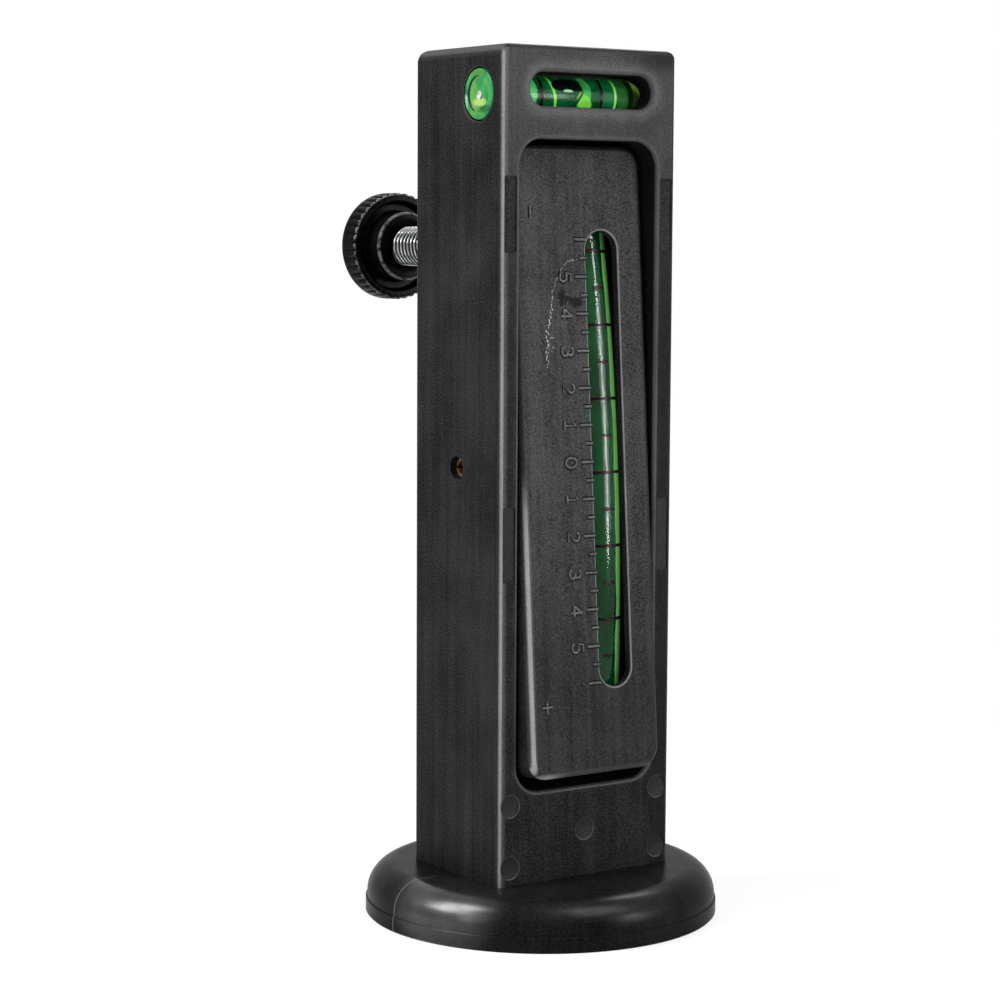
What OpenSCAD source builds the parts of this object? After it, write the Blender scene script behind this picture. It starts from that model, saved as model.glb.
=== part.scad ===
// Magnetic camber and caster gauge: an upright column on a round magnetic foot, with a tilting
// scale cradle and its curved spirit vial in front, a small cross level at the top, and a
// thumbscrew at the back that zeroes the cradle against a return spring.
// Units are millimetres. The origin is the centre of the foot's underside, +Z is up, the scale
// faces -Y, and the cross level is pushed in from the -X side.

/* [Column] */
// Overall height from the underside of the foot to the top of the column
column_top = 165; // [160:0.5:172]
// Width of the column across its front face
column_w = 40; // [38:0.5:46]
// Depth of the column from front face to back face
column_d = 28.5; // [27.5:0.25:32]
// Thickness of the two side walls beside the front opening
side_wall = 4.3; // [3.5:0.1:5]
// Thickness of the back wall behind the cradle
back_wall = 3; // [2.5:0.1:3.5]
// Radius on the four upright edges and the front top edge
upright_edge_r = 0.8; // [0.4:0.1:1.4]
// Radius on the side and back edges of the top
top_edge_r = 2; // [1:0.1:3]

/* [Foot] */
// Diameter of the round foot
foot_d = 68; // [64:0.5:76]
// Thickness of the foot
foot_h = 9.5; // [9:0.25:12]
// Radius that rounds the foot's upper edge
foot_round_r = 5.6; // [3:0.1:6]
// Height of the upright band round the foot
foot_band_h = 3; // [2:0.1:3.2]
// Small step from the band in to the rounded edge
foot_step = 0.3; // [0.2:0.05:0.6]
// Chamfer on the foot's lower edge
foot_chamfer = 0.4; // [0.2:0.1:0.8]

/* [Front opening] */
// Height of the lower end of the front opening
opening_bottom = 26.8; // [25:0.1:29]
// Distance of the upper end of the front opening below the top
opening_drop = 17; // [16:0.1:19]
// Corner radius of the front opening
opening_r = 5; // [4:0.1:7]

/* [Face marks] */
// Diameter of the round marks on the lower front face
round_mark_d = 4.3; // [3:0.1:5]
// Depth of the round marks and the shallow panels
mark_depth = 0.25; // [0.15:0.05:0.4]
// Distance of the upper pair of round marks below the opening
upper_mark_drop = 2.2; // [1.8:0.1:3.3]
// Height of the lower pair of round marks above the foot
lower_mark_rise = 3.4; // [2.9:0.1:4.5]
// Distance of the round marks from the middle
mark_x = 17.2; // [16.5:0.1:17.4]
// Height of the middle round mark above the foot
middle_mark_rise = 8.9; // [7.5:0.1:10]
// Width of the shallow panels beside the opening
panel_w = 2.6; // [2:0.1:3]
// Height of the shallow panels beside the opening
panel_h = 13.8; // [8:0.1:16]
// Distance of the middle of the upper panels below the top
upper_panel_drop = 30.8; // [27:0.1:35]
// Distance of the middle of the lower panels below the pivot
lower_panel_drop = 13.4; // [9:0.1:19]

/* [Pivot] */
// Distance of the pivot axis below the middle of the opening
pivot_lowering = 0.4; // [0:0.1:1]
// Diameter of the slotted pivot pin
pin_d = 4; // [3:0.1:4.2]
// Wall of the slotted pivot pin
pin_wall = 0.7; // [0.5:0.05:0.9]
// Width of the slot along the pivot pin
pin_slot = 0.6; // [0.3:0.1:0.9]
// Depth of each end of the pin below the column's side
pin_recess = 1.2; // [0.6:0.1:1.8]
// Widening of the pin hole at the column's side
pin_mouth = 0.15; // [0.1:0.05:0.4]

/* [Cradle] */
// Tilt of the cradle at rest, with its upper end towards the back
rest_tilt = 4.1; // [2:0.1:4.6]
// Tilt to each side of upright at the end of the travel
tilt_limit = 5; // [4.8:0.1:5.2]
// Distance of the scale face in front of the pivot axis
scale_front = 14; // [13.8:0.1:14.4]
// Distance of the carrier's back edge behind the pivot axis
carrier_back = 5; // [4.5:0.1:5.2]
// Distance of the seam between scale plate and carrier in front of the pivot axis
seam_front = 5; // [4.4:0.1:5.6]
// Gap between each side of the cradle and the opening
cradle_side_gap = 0.65; // [0.4:0.05:1]
// Gap that each end of the cradle keeps at full tilt
cradle_end_gap = 0.4; // [0.3:0.05:0.8]
// Corner radius of the cradle
cradle_r = 4; // [3:0.1:5]
// Thickness of the scale plate
plate_t = 1.6; // [1.2:0.1:2]
// Thickness of the cradle's side and end walls
cradle_wall = 1.8; // [1.4:0.1:2]
// Radius of the pivot bosses on the carrier
pivot_boss_r = 4.2; // [3.6:0.1:4.4]
// Inner end of the left pivot boss, measured left from the middle
left_boss_inner = 2; // [1:0.1:6]
// Gap between the right pivot boss and the camber vial
right_boss_gap = 0.6; // [0.4:0.1:1]

/* [Scale] */
// Length of scale that one degree covers
degree_pitch = 6.93; // [6.6:0.01:7]
// Width of the scale slot
slot_w = 7.25; // [6.5:0.05:7.6]
// Gap between the curved vial and the rear edges of its slot
vial_seat_gap = 0.1; // [0.05:0.05:0.4]
// Distance that the scale slot keeps from the cradle's ends
slot_end_room = 16.08; // [15:0.02:18]
// Distance of the slot's middle line to the right of the middle
slot_x = 5.1; // [4.6:0.1:5.4]
// Height of the slot's middle above the pivot
slot_rise = 0.5; // [0:0.1:1]
// Height of the zero line above the pivot
zero_rise = 0.2; // [0:0.1:0.5]
// Length of the lines at whole degrees
long_tick = 3; // [2.6:0.1:3.4]
// Length of the lines at half degrees
short_tick = 1.85; // [1.4:0.05:2.2]
// Width of the scale lines
tick_w = 0.45; // [0.3:0.05:0.6]
// Height of the raised scale lines
tick_h = 0.3; // [0.2:0.05:0.4]

/* [Camber vial] */
// Outside diameter of the curved vial
vial_d = 10; // [9:0.1:10.2]
// Wall of the curved vial
vial_wall = 1.2; // [0.9:0.1:1.5]
// Distance that the curved vial keeps from the cradle's ends
vial_end_room = 8.98; // [8:0.02:11]
// Length of the plug in each end of the curved vial
vial_plug_len = 3; // [2:0.25:4]
// Length of the air space at the raised end of the curved vial
air_len = 8; // [4:0.5:12]
// Spacing of the lines round the curved vial
vial_line_pitch = 6.87; // [6.5:0.01:7]
// Distance of the topmost line from the vial's upper end
line_top_room = 10.7; // [9:0.1:12]
// Least distance of the lowest line from the vial's lower end
line_low_room = 13.6; // [10:0.1:14]
// Width of the lines round the curved vial
vial_line_w = 0.55; // [0.3:0.05:0.8]
// Thickness of the printed lines
ink_t = 0.1; // [0.06:0.02:0.14]
// Half angle that the long lines reach round the vial
long_line_angle = 40; // [30:1:42]
// Half angle that the short lines reach round the vial
short_line_angle = 14; // [8:1:20]
// Distance from the vial's ends to the middle of each saddle
saddle_inset = 4; // [3.5:0.25:6]
// Thickness of the saddles along the vial
saddle_t = 3; // [2:0.25:4]

/* [Cross level] */
// Distance of the cross level's axis below the top
level_drop = 8.9; // [8:0.1:9.2]
// Distance of the cross level's axis in front of the middle
level_front = 6.5; // [6:0.1:7]
// Diameter of the cross level's body
level_d = 7.5; // [6.8:0.1:7.8]
// Diameter of the cross level's round head
level_head_d = 9.4; // [8.8:0.1:9.6]
// Thickness of the cross level's head
level_head_t = 3; // [2:0.1:4]
// Diameter of the hole round the head
level_hole_d = 10; // [9.8:0.1:10.4]
// Depth of the head below the column's side
level_head_recess = 0.2; // [0.1:0.05:0.5]
// Column wall left past the blind end of the cross level
level_end_wall = 1.4; // [1.2:0.1:3]
// Length of the cross level's tapered nose
level_nose_len = 5.6; // [4:0.1:6]
// Diameter of the blunt end of that nose
level_nose_d = 3.6; // [3:0.1:4.4]
// Wall of the cross level's fluid space
level_wall = 0.9; // [0.7:0.05:1.1]
// Diameter of the plug in the cross level's head
level_plug_d = 6.4; // [6:0.1:7]
// Diameter of the dimple in that plug
level_dimple_d = 1.5; // [1:0.1:2]
// Depth of that dimple
level_dimple_depth = 0.5; // [0.3:0.1:0.8]
// Distance that the fluid space keeps from the cross level's nose
level_nose_room = 0.8; // [0.6:0.1:3]
// Length of the bubble in the cross level
bubble_len = 8.2; // [7:0.1:10]
// Diameter of the bubble in the cross level
bubble_d = 3; // [2.4:0.1:3.4]
// Thickness of the film of fluid over that bubble
bubble_film = 0.12; // [0.08:0.01:0.2]
// Distance between the two lines on the cross level
level_line_gap = 13.7; // [12:0.1:15]
// Distance of the middle of these lines to the left of the column's middle
level_line_left = 1.3; // [0:0.1:2.5]
// Width of the lines on the cross level
level_line_w = 0.6; // [0.4:0.1:0.8]
// Angle that these lines reach up round the cross level
level_line_up = 58; // [40:1:62]
// Angle that these lines reach down round the cross level
level_line_down = 34; // [20:1:36]
// Width of the window over the cross level
window_w = 27.8; // [26:0.2:29]
// Height of the window over the cross level
window_h = 6.3; // [5.8:0.1:6.6]
// Distance of the window's middle below the top
window_drop = 7.95; // [7.7:0.05:8.4]
// Distance of the window's middle to the right of the column's middle
window_right = 0.6; // [0:0.1:1]

/* [Adjuster] */
// Height of the adjusting screw's axis above the pivot
screw_rise = 41; // [39:0.5:43]
// Thread diameter of the adjusting screw
thread_d = 8; // [7.6:0.1:8.4]
// Thread pitch of the adjusting screw
thread_pitch = 1.25; // [1:0.25:1.5]
// Depth of the thread
thread_depth = 0.75; // [0.6:0.05:0.85]
// Diameter of the boss that holds the threaded insert
insert_boss_d = 16; // [15:0.5:18]
// Height of that boss behind the back wall
insert_boss_h = 6; // [4:0.5:10]
// Outside diameter of the threaded insert
insert_d = 11; // [10.6:0.1:12]
// Bare thread between the boss and the knob at rest
knob_stand_off = 28.25; // [20:0.25:30]
// Diameter of the knob over its knurl
knob_d = 21.8; // [20:0.2:24]
// Diameter of the knob's raised hub
knob_hub_d = 14; // [12:0.1:15]
// Height of the hub ahead of the knurled rim
knob_hub_h = 3.1; // [2:0.1:4]
// Width of the knurled rim along the axis
knob_rim_w = 5.2; // [4:0.1:7]
// Thickness of the knurled rim
knob_rim_t = 1.9; // [1.5:0.1:2.1]
// Depth of the groove between the hub and the rim
knob_groove = 2; // [1:0.1:2.6]
// Number of teeth round the knurl
knurl_teeth = 40; // [30:1:50]
// Depth of the knurl
knurl_depth = 0.45; // [0.3:0.05:0.6]
// Height that the rounding at the rim takes off each tooth
knurl_crest = 0.12; // [0.06:0.02:0.16]
// Chamfer on the knob's edges
knob_chamfer = 0.6; // [0.3:0.1:0.8]
// Depth of the shallow dish in the knob's outer face
knob_dish = 0.6; // [0.3:0.1:0.9]
// Plastic left past the screw's end in the knob
knob_floor = 1.6; // [1.2:0.1:2.4]
// Diameter of the thrust cap on the screw's tip
cap_d = 8; // [7:0.1:9]
// Length of the thrust cap
cap_len = 3.2; // [3:0.1:3.4]
// Radius of the thrust cap's domed nose
cap_nose_r = 9; // [7:0.5:12]
// Diameter of the screw's tip inside the cap
tip_d = 4; // [3:0.1:4.4]
// Length of the screw's tip inside the cap
tip_len = 1.8; // [1.4:0.1:2]

/* [Pads and spring] */
// Distance of the pads' front side behind the pivot axis
pad_front = 1; // [0.8:0.1:1.2]
// Thickness of the pads that the cap and the spring bear on
pad_t = 2; // [1.6:0.1:2.2]
// Height of the pads along the cradle
pad_h = 12; // [11:0.5:14]
// Distance of the return spring's axis below the pivot
spring_drop = 41; // [38:0.5:43]
// Mean diameter of the return spring
spring_mean_d = 7.4; // [7:0.1:9]
// Wire diameter of the return spring
spring_wire = 0.8; // [0.7:0.05:0.9]
// Turns of the return spring
spring_turns = 4.5; // [4:0.5:4.5]
// Height of the pegs that centre the spring
peg_h = 1.5; // [1:0.1:1.8]
// Diameter of the pegs that centre the spring
peg_d = 5; // [4:0.1:5.6]

/* [Carrier screws] */
// Diameter of the carrier screws
joint_screw_d = 2.2; // [2:0.1:2.4]
// Length of the carrier screws under the head
joint_screw_len = 8; // [6:0.5:9]
// Diameter of the carrier screws' heads
joint_head_d = 4.2; // [3.8:0.1:4.4]
// Height of the carrier screws' heads
joint_head_h = 1.5; // [1.2:0.1:1.8]
// Depth of the cross slots in the carrier screws' heads
joint_cross_depth = 0.75; // [0.5:0.05:0.9]
// Gap between the screw heads and the cradle's walls
joint_head_gap = 0.3; // [0.2:0.05:0.5]
// Depth that the screw bosses reach into the cradle's walls
joint_boss_bite = 0.3; // [0.2:0.05:0.6]
// Thickness of the carrier's screw lugs
joint_lug_t = 2.4; // [2:0.1:3]

/* [Magnet] */
// Outside diameter of the steel cup
cup_d = 56; // [52:0.5:58]
// Height of the steel cup
cup_h = 8; // [7.5:0.1:8.2]
// Wall of the steel cup
cup_wall = 2; // [1.5:0.1:2.5]
// Floor of the steel cup
cup_floor = 2; // [1.8:0.1:2.5]
// Diameter of the recess in the ring magnet
recess_d = 22; // [16:0.5:26]
// Thread diameter of the magnet's screw
magnet_screw_d = 5; // [4:0.1:5]
// Length of the magnet's screw in the column
magnet_screw_len = 12; // [8:0.5:14]
// Head diameter of the magnet's screw
magnet_head_d = 9; // [8.4:0.1:9.6]
// Depth of the cross slots in the magnet's screw
magnet_cross_depth = 1; // [0.8:0.1:1.2]
// Width of the cross slots in the screw heads
cross_w = 0.9; // [0.6:0.1:1.1]
// Length of the cross slots as a share of the screw head's diameter
cross_share = 0.6; // [0.5:0.05:0.7]

/* [Fits] */
// Radial clearance of a part that turns or slides in another
running_gap = 0.05; // [0.02:0.01:0.1]
// Clearance of a part that is fixed in another
fixed_gap = 0.02; // [0.01:0.01:0.05]
// Distance that a bearing face keeps from what it pushes
contact_gap = 0.2; // [0.15:0.01:0.3]

/* [Hidden] */
$fn = 96;
BEND_FN = 256;
past = 1;

front_y = -column_d / 2;
back_y = column_d / 2;
cavity_w = column_w - 2 * side_wall;
cavity_back_y = back_y - back_wall;

foot_r = foot_d / 2;
opening_top = column_top - opening_drop;
upper_mark_z = opening_bottom - upper_mark_drop;
lower_mark_z = foot_h + lower_mark_rise;
middle_mark_z = foot_h + middle_mark_rise;
panel_x = cavity_w / 2 + side_wall / 2;

pivot_z = (opening_top + opening_bottom) / 2 - pivot_lowering;
upper_panel_z = column_top - upper_panel_drop;
lower_panel_z = pivot_z - lower_panel_drop;
pin_r = pin_d / 2;
pin_len = column_w - 2 * pin_recess;

cradle_w = cavity_w - 2 * cradle_side_gap;
swing = scale_front * sin(tilt_limit) + cradle_end_gap;
cradle_top = opening_top - pivot_z - swing;
cradle_low = pivot_z - opening_bottom - swing;
cradle_h = cradle_top + cradle_low;
cradle_mid = (cradle_top - cradle_low) / 2;

slot_len = cradle_h - 2 * slot_end_room;
degrees_each_side = floor(slot_len / 2 / degree_pitch);

vial_bend_r = degree_pitch * 180 / PI;
vial_r = vial_d / 2;
vial_len = cradle_h - 2 * vial_end_room;
vial_line_top = vial_len / 2 - line_top_room;
vial_lines = 1 + floor((vial_len - line_top_room - line_low_room) / vial_line_pitch);
vial_bore_r = vial_r - vial_wall;
vial_axis_y = -scale_front + plate_t + sqrt(pow(vial_r + vial_seat_gap, 2) - pow(slot_w / 2, 2));
vial_half_angle = vial_len / 2 / vial_bend_r * 180 / PI;
plug_angle = vial_plug_len / vial_bend_r * 180 / PI;
air_angle = air_len / vial_bend_r * 180 / PI;
film_angle = fixed_gap / vial_bend_r * 180 / PI;
saddle_z = vial_len / 2 - saddle_inset;

level_z = column_top - level_drop;
level_y = -level_front;
level_r = level_d / 2;
level_left = -column_w / 2 + level_head_recess;
level_right = column_w / 2 - level_end_wall;
level_chamber_r = level_r - level_wall;
level_chamber_left = level_left + level_head_t;
level_chamber_right = level_right - level_nose_len - level_nose_room;
window_z = column_top - window_drop;

screw_z = pivot_z + screw_rise;
spring_z = pivot_z - spring_drop;
pad_back = pad_front + pad_t;
cap_nose_y = pad_back / cos(rest_tilt) + screw_rise * tan(rest_tilt) + contact_gap;
spring_pad_y = pad_back / cos(rest_tilt) - spring_drop * tan(rest_tilt);
cap_back_y = cap_nose_y + cap_len;
thread_r = thread_d / 2;
insert_back_y = back_y + insert_boss_h;
knob_y = insert_back_y + knob_stand_off;
knob_len = knob_hub_h + knob_rim_w;
screw_len = knob_y + knob_len - knob_floor - cap_back_y;
thread_turns = floor(screw_len / thread_pitch);
knob_r = knob_d / 2;
knob_hub_r = knob_hub_d / 2;

joint_boss_r = joint_head_d / 2 + joint_head_gap + joint_boss_bite;
joint_inset = cradle_wall + joint_boss_r - joint_boss_bite;
joint_screw_x = cradle_w / 2 - joint_inset;
joint_screw_z = [cradle_top - joint_inset, -cradle_low + joint_inset];

cup_r = cup_d / 2;
magnet_t = cup_h - cup_floor;
magnet_screw_r = magnet_screw_d / 2;

// Points of the return spring: a straight tip at each end and even turns between them
SPRING_RINGS = 8;
SPRING_SIDES = 6;
spring_mean_r = spring_mean_d / 2;
spring_start = cavity_back_y;
spring_end = spring_pad_y + contact_gap;
spring_steps = spring_turns * SPRING_RINGS;
spring_body = spring_start - spring_end - 2 * spring_wire;
function on_coil(i) = [
    spring_mean_r * cos(i * 360 / SPRING_RINGS),
    spring_start - spring_wire - spring_body * i / spring_steps,
    spring_mean_r * sin(i * 360 / SPRING_RINGS)];
spring_path = concat([on_coil(0) + [0, spring_wire, 0]], [for (i = [0:spring_steps]) on_coil(i)],
    [on_coil(spring_steps) - [0, spring_wire, 0]]);
spring_last = len(spring_path) - 1;
function unit(v) = v / norm(v);
function heading(i) = unit(spring_path[min(i + 1, spring_last)] - spring_path[max(i - 1, 0)]);
function outward(i) = unit([spring_path[i].x, 0, spring_path[i].z]);
function across(i) = unit(cross(heading(i), outward(i)));
function level_outward(i) = cross(across(i), heading(i));
spring_points = [for (i = [0:spring_last]) for (j = [0:SPRING_SIDES - 1])
    spring_path[i] + spring_wire / 2 * (cos(j * 360 / SPRING_SIDES) * level_outward(i)
        + sin(j * 360 / SPRING_SIDES) * across(i))];
function ring_point(i, j) = i * SPRING_SIDES + j % SPRING_SIDES;
spring_faces = concat(
    [for (i = [0:spring_last - 1]) for (j = [0:SPRING_SIDES - 1])
        [ring_point(i, j), ring_point(i + 1, j + 1), ring_point(i + 1, j)]],
    [for (i = [0:spring_last - 1]) for (j = [0:SPRING_SIDES - 1])
        [ring_point(i, j), ring_point(i, j + 1), ring_point(i + 1, j + 1)]],
    [for (j = [1:SPRING_SIDES - 2]) [0, j + 1, j]],
    [for (j = [1:SPRING_SIDES - 2])
        [ring_point(spring_last, 0), ring_point(spring_last, j), ring_point(spring_last, j + 1)]]);
spring_gap = min([for (i = [1:spring_last]) for (j = [i + SPRING_RINGS / 2:spring_last])
    norm(spring_path[i] - spring_path[j])]) - spring_wire;
echo(spring_least_gap_mm = spring_gap);

module rounded_rect(w, h, r) {
    square([w - 2 * r, h], center = true);
    square([w, h - 2 * r], center = true);
    for (sx = [-1, 1], sy = [-1, 1]) translate([sx * (w / 2 - r), sy * (h / 2 - r)]) circle(r = r);
}

// A flat outline in X and Z, drawn out from y0 back to y1
module drawn_back(y0, y1) {
    translate([0, y1, 0]) rotate([90, 0, 0]) linear_extrude(y1 - y0) children();
}

// A flat outline in Y and Z, drawn out from x0 to x1
module drawn_across(x0, x1) {
    translate([x0, 0, 0]) rotate([90, 0, 90]) linear_extrude(x1 - x0) children();
}

module rod_x(r, x0, x1) {
    translate([x0, 0, 0]) rotate([0, 90, 0]) cylinder(r = r, h = x1 - x0);
}

module rod_y(r, y0, y1) {
    translate([0, y1, 0]) rotate([90, 0, 0]) cylinder(r = r, h = y1 - y0);
}

// A profile of radius and distance, turned about the Y axis with distance along +Y
module turned_y(y0) {
    translate([0, y0, 0]) rotate([-90, 0, 0]) rotate_extrude() children();
}

// The cradle's own frame: the pivot axis is X, the scale faces -Y
module on_cradle() {
    translate([0, 0, pivot_z]) rotate([-rest_tilt, 0, 0]) children();
}

// Draws an outline, centred on the vial's axis, along the vial's arc between two angles
module along_vial(from, to) {
    translate([slot_x, vial_axis_y + vial_bend_r, 0]) rotate([0, 90, 0])
        rotate([0, 0, -90 - to]) rotate_extrude(angle = to - from, $fn = BEND_FN)
            translate([vial_bend_r, 0]) children();
}

// A place on the vial's axis at a height, with the local axis along the vial
module at_vial_height(z) {
    turn = asin(z / vial_bend_r);
    translate([slot_x, vial_axis_y + vial_bend_r * (1 - cos(turn)), z]) rotate([-turn, 0, 0])
        children();
}

module cross_slots(head_d, depth) {
    length = head_d * cross_share;
    for (turn = [0, 90]) rotate([0, 0, turn])
        translate([-length / 2, -cross_w / 2, -past]) cube([length, cross_w, depth + past]);
}

module foot() {
    flat_r = foot_r - foot_step - foot_round_r;
    round_z = foot_h - foot_round_r;
    rotate_extrude() {
        difference() {
            square([foot_r, foot_band_h]);
            translate([foot_r, 0]) rotate([0, 0, 45])
                square(foot_chamfer * sqrt(2), center = true);
        }
        translate([0, foot_chamfer]) square([foot_r - foot_step, round_z - foot_chamfer]);
        square([flat_r, foot_h]);
        intersection() {
            translate([flat_r, round_z]) circle(r = foot_round_r);
            translate([flat_r - past, round_z - past]) square([foot_round_r + past, foot_round_r + past]);
        }
    }
}

// Upright outline with a rounded shoulder on each side, as wide as w
module shoulder_outline(w, h, r0, r1) {
    translate([-w / 2, 0]) square([w, h - max(r0, r1)]);
    translate([-w / 2 + r0, 0]) square([w - r0 - r1, h]);
    translate([-w / 2, 0]) square([r0 + past, h - r0]);
    translate([w / 2 - r1 - past, 0]) square([r1 + past, h - r1]);
    translate([-w / 2 + r0, h - r0]) circle(r = r0);
    translate([w / 2 - r1, h - r1]) circle(r = r1);
}

module column_block() {
    intersection() {
        linear_extrude(column_top) rounded_rect(column_w, column_d, upright_edge_r);
        drawn_back(front_y - past, back_y + past)
            shoulder_outline(column_w, column_top, top_edge_r, top_edge_r);
        drawn_across(-column_w / 2 - past, column_w / 2 + past)
            shoulder_outline(column_d, column_top, upright_edge_r, top_edge_r);
    }
}

module level_hole() {
    translate([0, level_y, level_z]) {
        rod_x(level_hole_d / 2, -column_w / 2 - past, level_left + level_head_t + fixed_gap);
        rod_x(level_r + running_gap, -column_w / 2, level_right + fixed_gap);
    }
    translate([window_right, 0, window_z]) drawn_back(front_y - past, level_y)
        rounded_rect(window_w, window_h, window_h / 2 - fixed_gap);
}

module pin_hole() {
    translate([0, 0, pivot_z]) {
        rod_x(pin_r + fixed_gap, -column_w / 2 - past, column_w / 2 + past);
        for (side = [0, 1]) mirror([side, 0, 0])
            rod_x(pin_r + pin_mouth, -column_w / 2 - past, -pin_len / 2);
    }
}

module face_marks() {
    for (z = [upper_mark_z, lower_mark_z], side = [-1, 1]) translate([side * mark_x, 0, z])
        rod_y(round_mark_d / 2, front_y - past, front_y + mark_depth);
    translate([0, 0, middle_mark_z]) rod_y(round_mark_d / 2, front_y - past, front_y + mark_depth);
    for (z = [upper_panel_z, lower_panel_z], side = [-1, 1])
        translate([side * panel_x - panel_w / 2, front_y - past, z - panel_h / 2])
            cube([panel_w, mark_depth + past, panel_h]);
}

module housing() color([0.13, 0.13, 0.135]) {
    difference() {
        union() {
            foot();
            column_block();
            translate([0, 0, screw_z])
                rod_y(insert_boss_d / 2, back_y - back_wall, insert_back_y);
        }
        translate([0, 0, (opening_top + opening_bottom) / 2])
            drawn_back(front_y - past, cavity_back_y)
                rounded_rect(cavity_w, opening_top - opening_bottom, opening_r);
        level_hole();
        pin_hole();
        face_marks();
        translate([0, 0, screw_z]) rod_y(insert_d / 2, cavity_back_y - past, insert_back_y + past);
        translate([0, 0, -past]) cylinder(r = cup_r + fixed_gap, h = cup_h + fixed_gap + past);
        cylinder(r = magnet_screw_r + fixed_gap, h = cup_h + magnet_screw_len + fixed_gap);
    }
    translate([0, 0, spring_z]) rod_y(peg_d / 2, cavity_back_y - peg_h, cavity_back_y + back_wall / 2);
}

module cradle_outline(shrink) {
    translate([0, cradle_mid])
        rounded_rect(cradle_w - 2 * shrink, cradle_h - 2 * shrink, cradle_r - shrink);
}

module vial_space() {
    along_vial(-vial_half_angle, vial_half_angle) circle(r = vial_r + fixed_gap);
}

module scale_ticks() {
    tick_right = slot_x - slot_w / 2;
    for (half = [-2 * degrees_each_side:2 * degrees_each_side]) {
        length = half % 2 == 0 ? long_tick : short_tick;
        middle = zero_rise + half * degree_pitch / 2;
        translate([tick_right - length, -scale_front - tick_h, middle - tick_w / 2])
            cube([length, tick_h + plate_t / 2, tick_w]);
    }
}

module joint_places() {
    for (x = [-joint_screw_x, joint_screw_x], z = joint_screw_z) translate([x, 0, z]) children();
}

module scale_plate() color([0.15, 0.15, 0.155]) on_cradle() {
    difference() {
        union() {
            difference() {
                drawn_back(-scale_front, -seam_front) cradle_outline(0);
                drawn_back(-scale_front + plate_t, -seam_front + past) cradle_outline(cradle_wall);
            }
            joint_places() rod_y(joint_boss_r, -scale_front + plate_t / 2, -seam_front);
        }
        translate([slot_x, 0, slot_rise]) drawn_back(-scale_front - past, -scale_front + plate_t + past)
            rounded_rect(slot_w, slot_len, slot_w / 2 - fixed_gap);
        joint_places() rod_y(joint_screw_d / 2 + fixed_gap,
            -seam_front + joint_lug_t - joint_screw_len - fixed_gap, past);
    }
    scale_ticks();
}

// A saddle that spans the carrier and bears on the back of the vial
module saddle(z) {
    difference() {
        translate([-cradle_w / 2 + cradle_wall / 2, -seam_front, z - saddle_t / 2])
            cube([cradle_w - cradle_wall, seam_front + pad_back, saddle_t]);
        vial_space();
    }
}

module pad(z) {
    translate([-cradle_w / 2 + cradle_wall / 2, pad_front, z - pad_h / 2])
        cube([cradle_w - cradle_wall, pad_t, pad_h]);
}

module vial_carrier() color([0.17, 0.17, 0.175]) on_cradle() {
    right_boss_inner = slot_x + vial_r + right_boss_gap;
    difference() {
        union() {
            difference() {
                drawn_back(-seam_front, carrier_back) cradle_outline(0);
                drawn_back(-seam_front - past, carrier_back + past) cradle_outline(cradle_wall);
            }
            rod_x(pivot_boss_r, -cradle_w / 2, -left_boss_inner);
            rod_x(pivot_boss_r, right_boss_inner, cradle_w / 2);
            joint_places() rod_y(joint_boss_r, -seam_front, -seam_front + joint_lug_t);
        }
        rod_x(pin_r + running_gap, -cradle_w / 2 - past, cradle_w / 2 + past);
        joint_places() rod_y(joint_screw_d / 2 + running_gap, -seam_front - past, carrier_back);
    }
    saddle(saddle_z);
    saddle(-saddle_z);
    pad(screw_rise);
    pad(-spring_drop);
    translate([0, 0, -spring_drop]) rod_y(peg_d / 2, pad_back - pad_t / 2, pad_back + peg_h);
}

module carrier_screws() color([0.72, 0.73, 0.75]) on_cradle() {
    head_y = -seam_front + joint_lug_t + fixed_gap;
    joint_places() difference() {
        union() {
            rod_y(joint_screw_d / 2, head_y - joint_screw_len, head_y + fixed_gap);
            rod_y(joint_head_d / 2, head_y, head_y + joint_head_h);
        }
        translate([0, head_y + joint_head_h, 0]) rotate([90, 0, 0])
            cross_slots(joint_head_d, joint_cross_depth);
    }
}

module pivot_pin() color([0.72, 0.5, 0.25]) translate([0, 0, pivot_z]) difference() {
    rod_x(pin_r, -pin_len / 2, pin_len / 2);
    rod_x(pin_r - pin_wall, -column_w, column_w);
    translate([-column_w, 0, -pin_slot / 2]) cube([2 * column_w, pin_r + past, pin_slot]);
}

module camber_vial_tube() color([0.5, 0.9, 0.55, 0.35]) on_cradle() {
    along_vial(-vial_half_angle, vial_half_angle) difference() {
        circle(r = vial_r);
        circle(r = vial_bore_r);
    }
}

module camber_vial_fluid() color([0.05, 0.6, 0.25, 0.8]) on_cradle() {
    along_vial(-vial_half_angle + plug_angle + film_angle, vial_half_angle - plug_angle - air_angle)
        circle(r = vial_bore_r - fixed_gap);
}

module camber_vial_air() color([0.85, 1, 0.9, 0.3]) on_cradle() {
    along_vial(vial_half_angle - plug_angle - air_angle + film_angle,
        vial_half_angle - plug_angle - film_angle) circle(r = vial_bore_r - fixed_gap);
}

module camber_vial_plugs() color([0.35, 0.8, 0.3]) on_cradle() {
    along_vial(-vial_half_angle, -vial_half_angle + plug_angle) circle(r = vial_bore_r - fixed_gap);
    along_vial(vial_half_angle - plug_angle, vial_half_angle) circle(r = vial_bore_r - fixed_gap);
}

// A printed line on a rod along Z, from one angle to another, both measured from -Y
module ink_arc(r, w, from, to) {
    translate([0, 0, -w / 2]) rotate([0, 0, -90 + from])
        rotate_extrude(angle = to - from) translate([r + fixed_gap, 0]) square([ink_t, w]);
}

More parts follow.
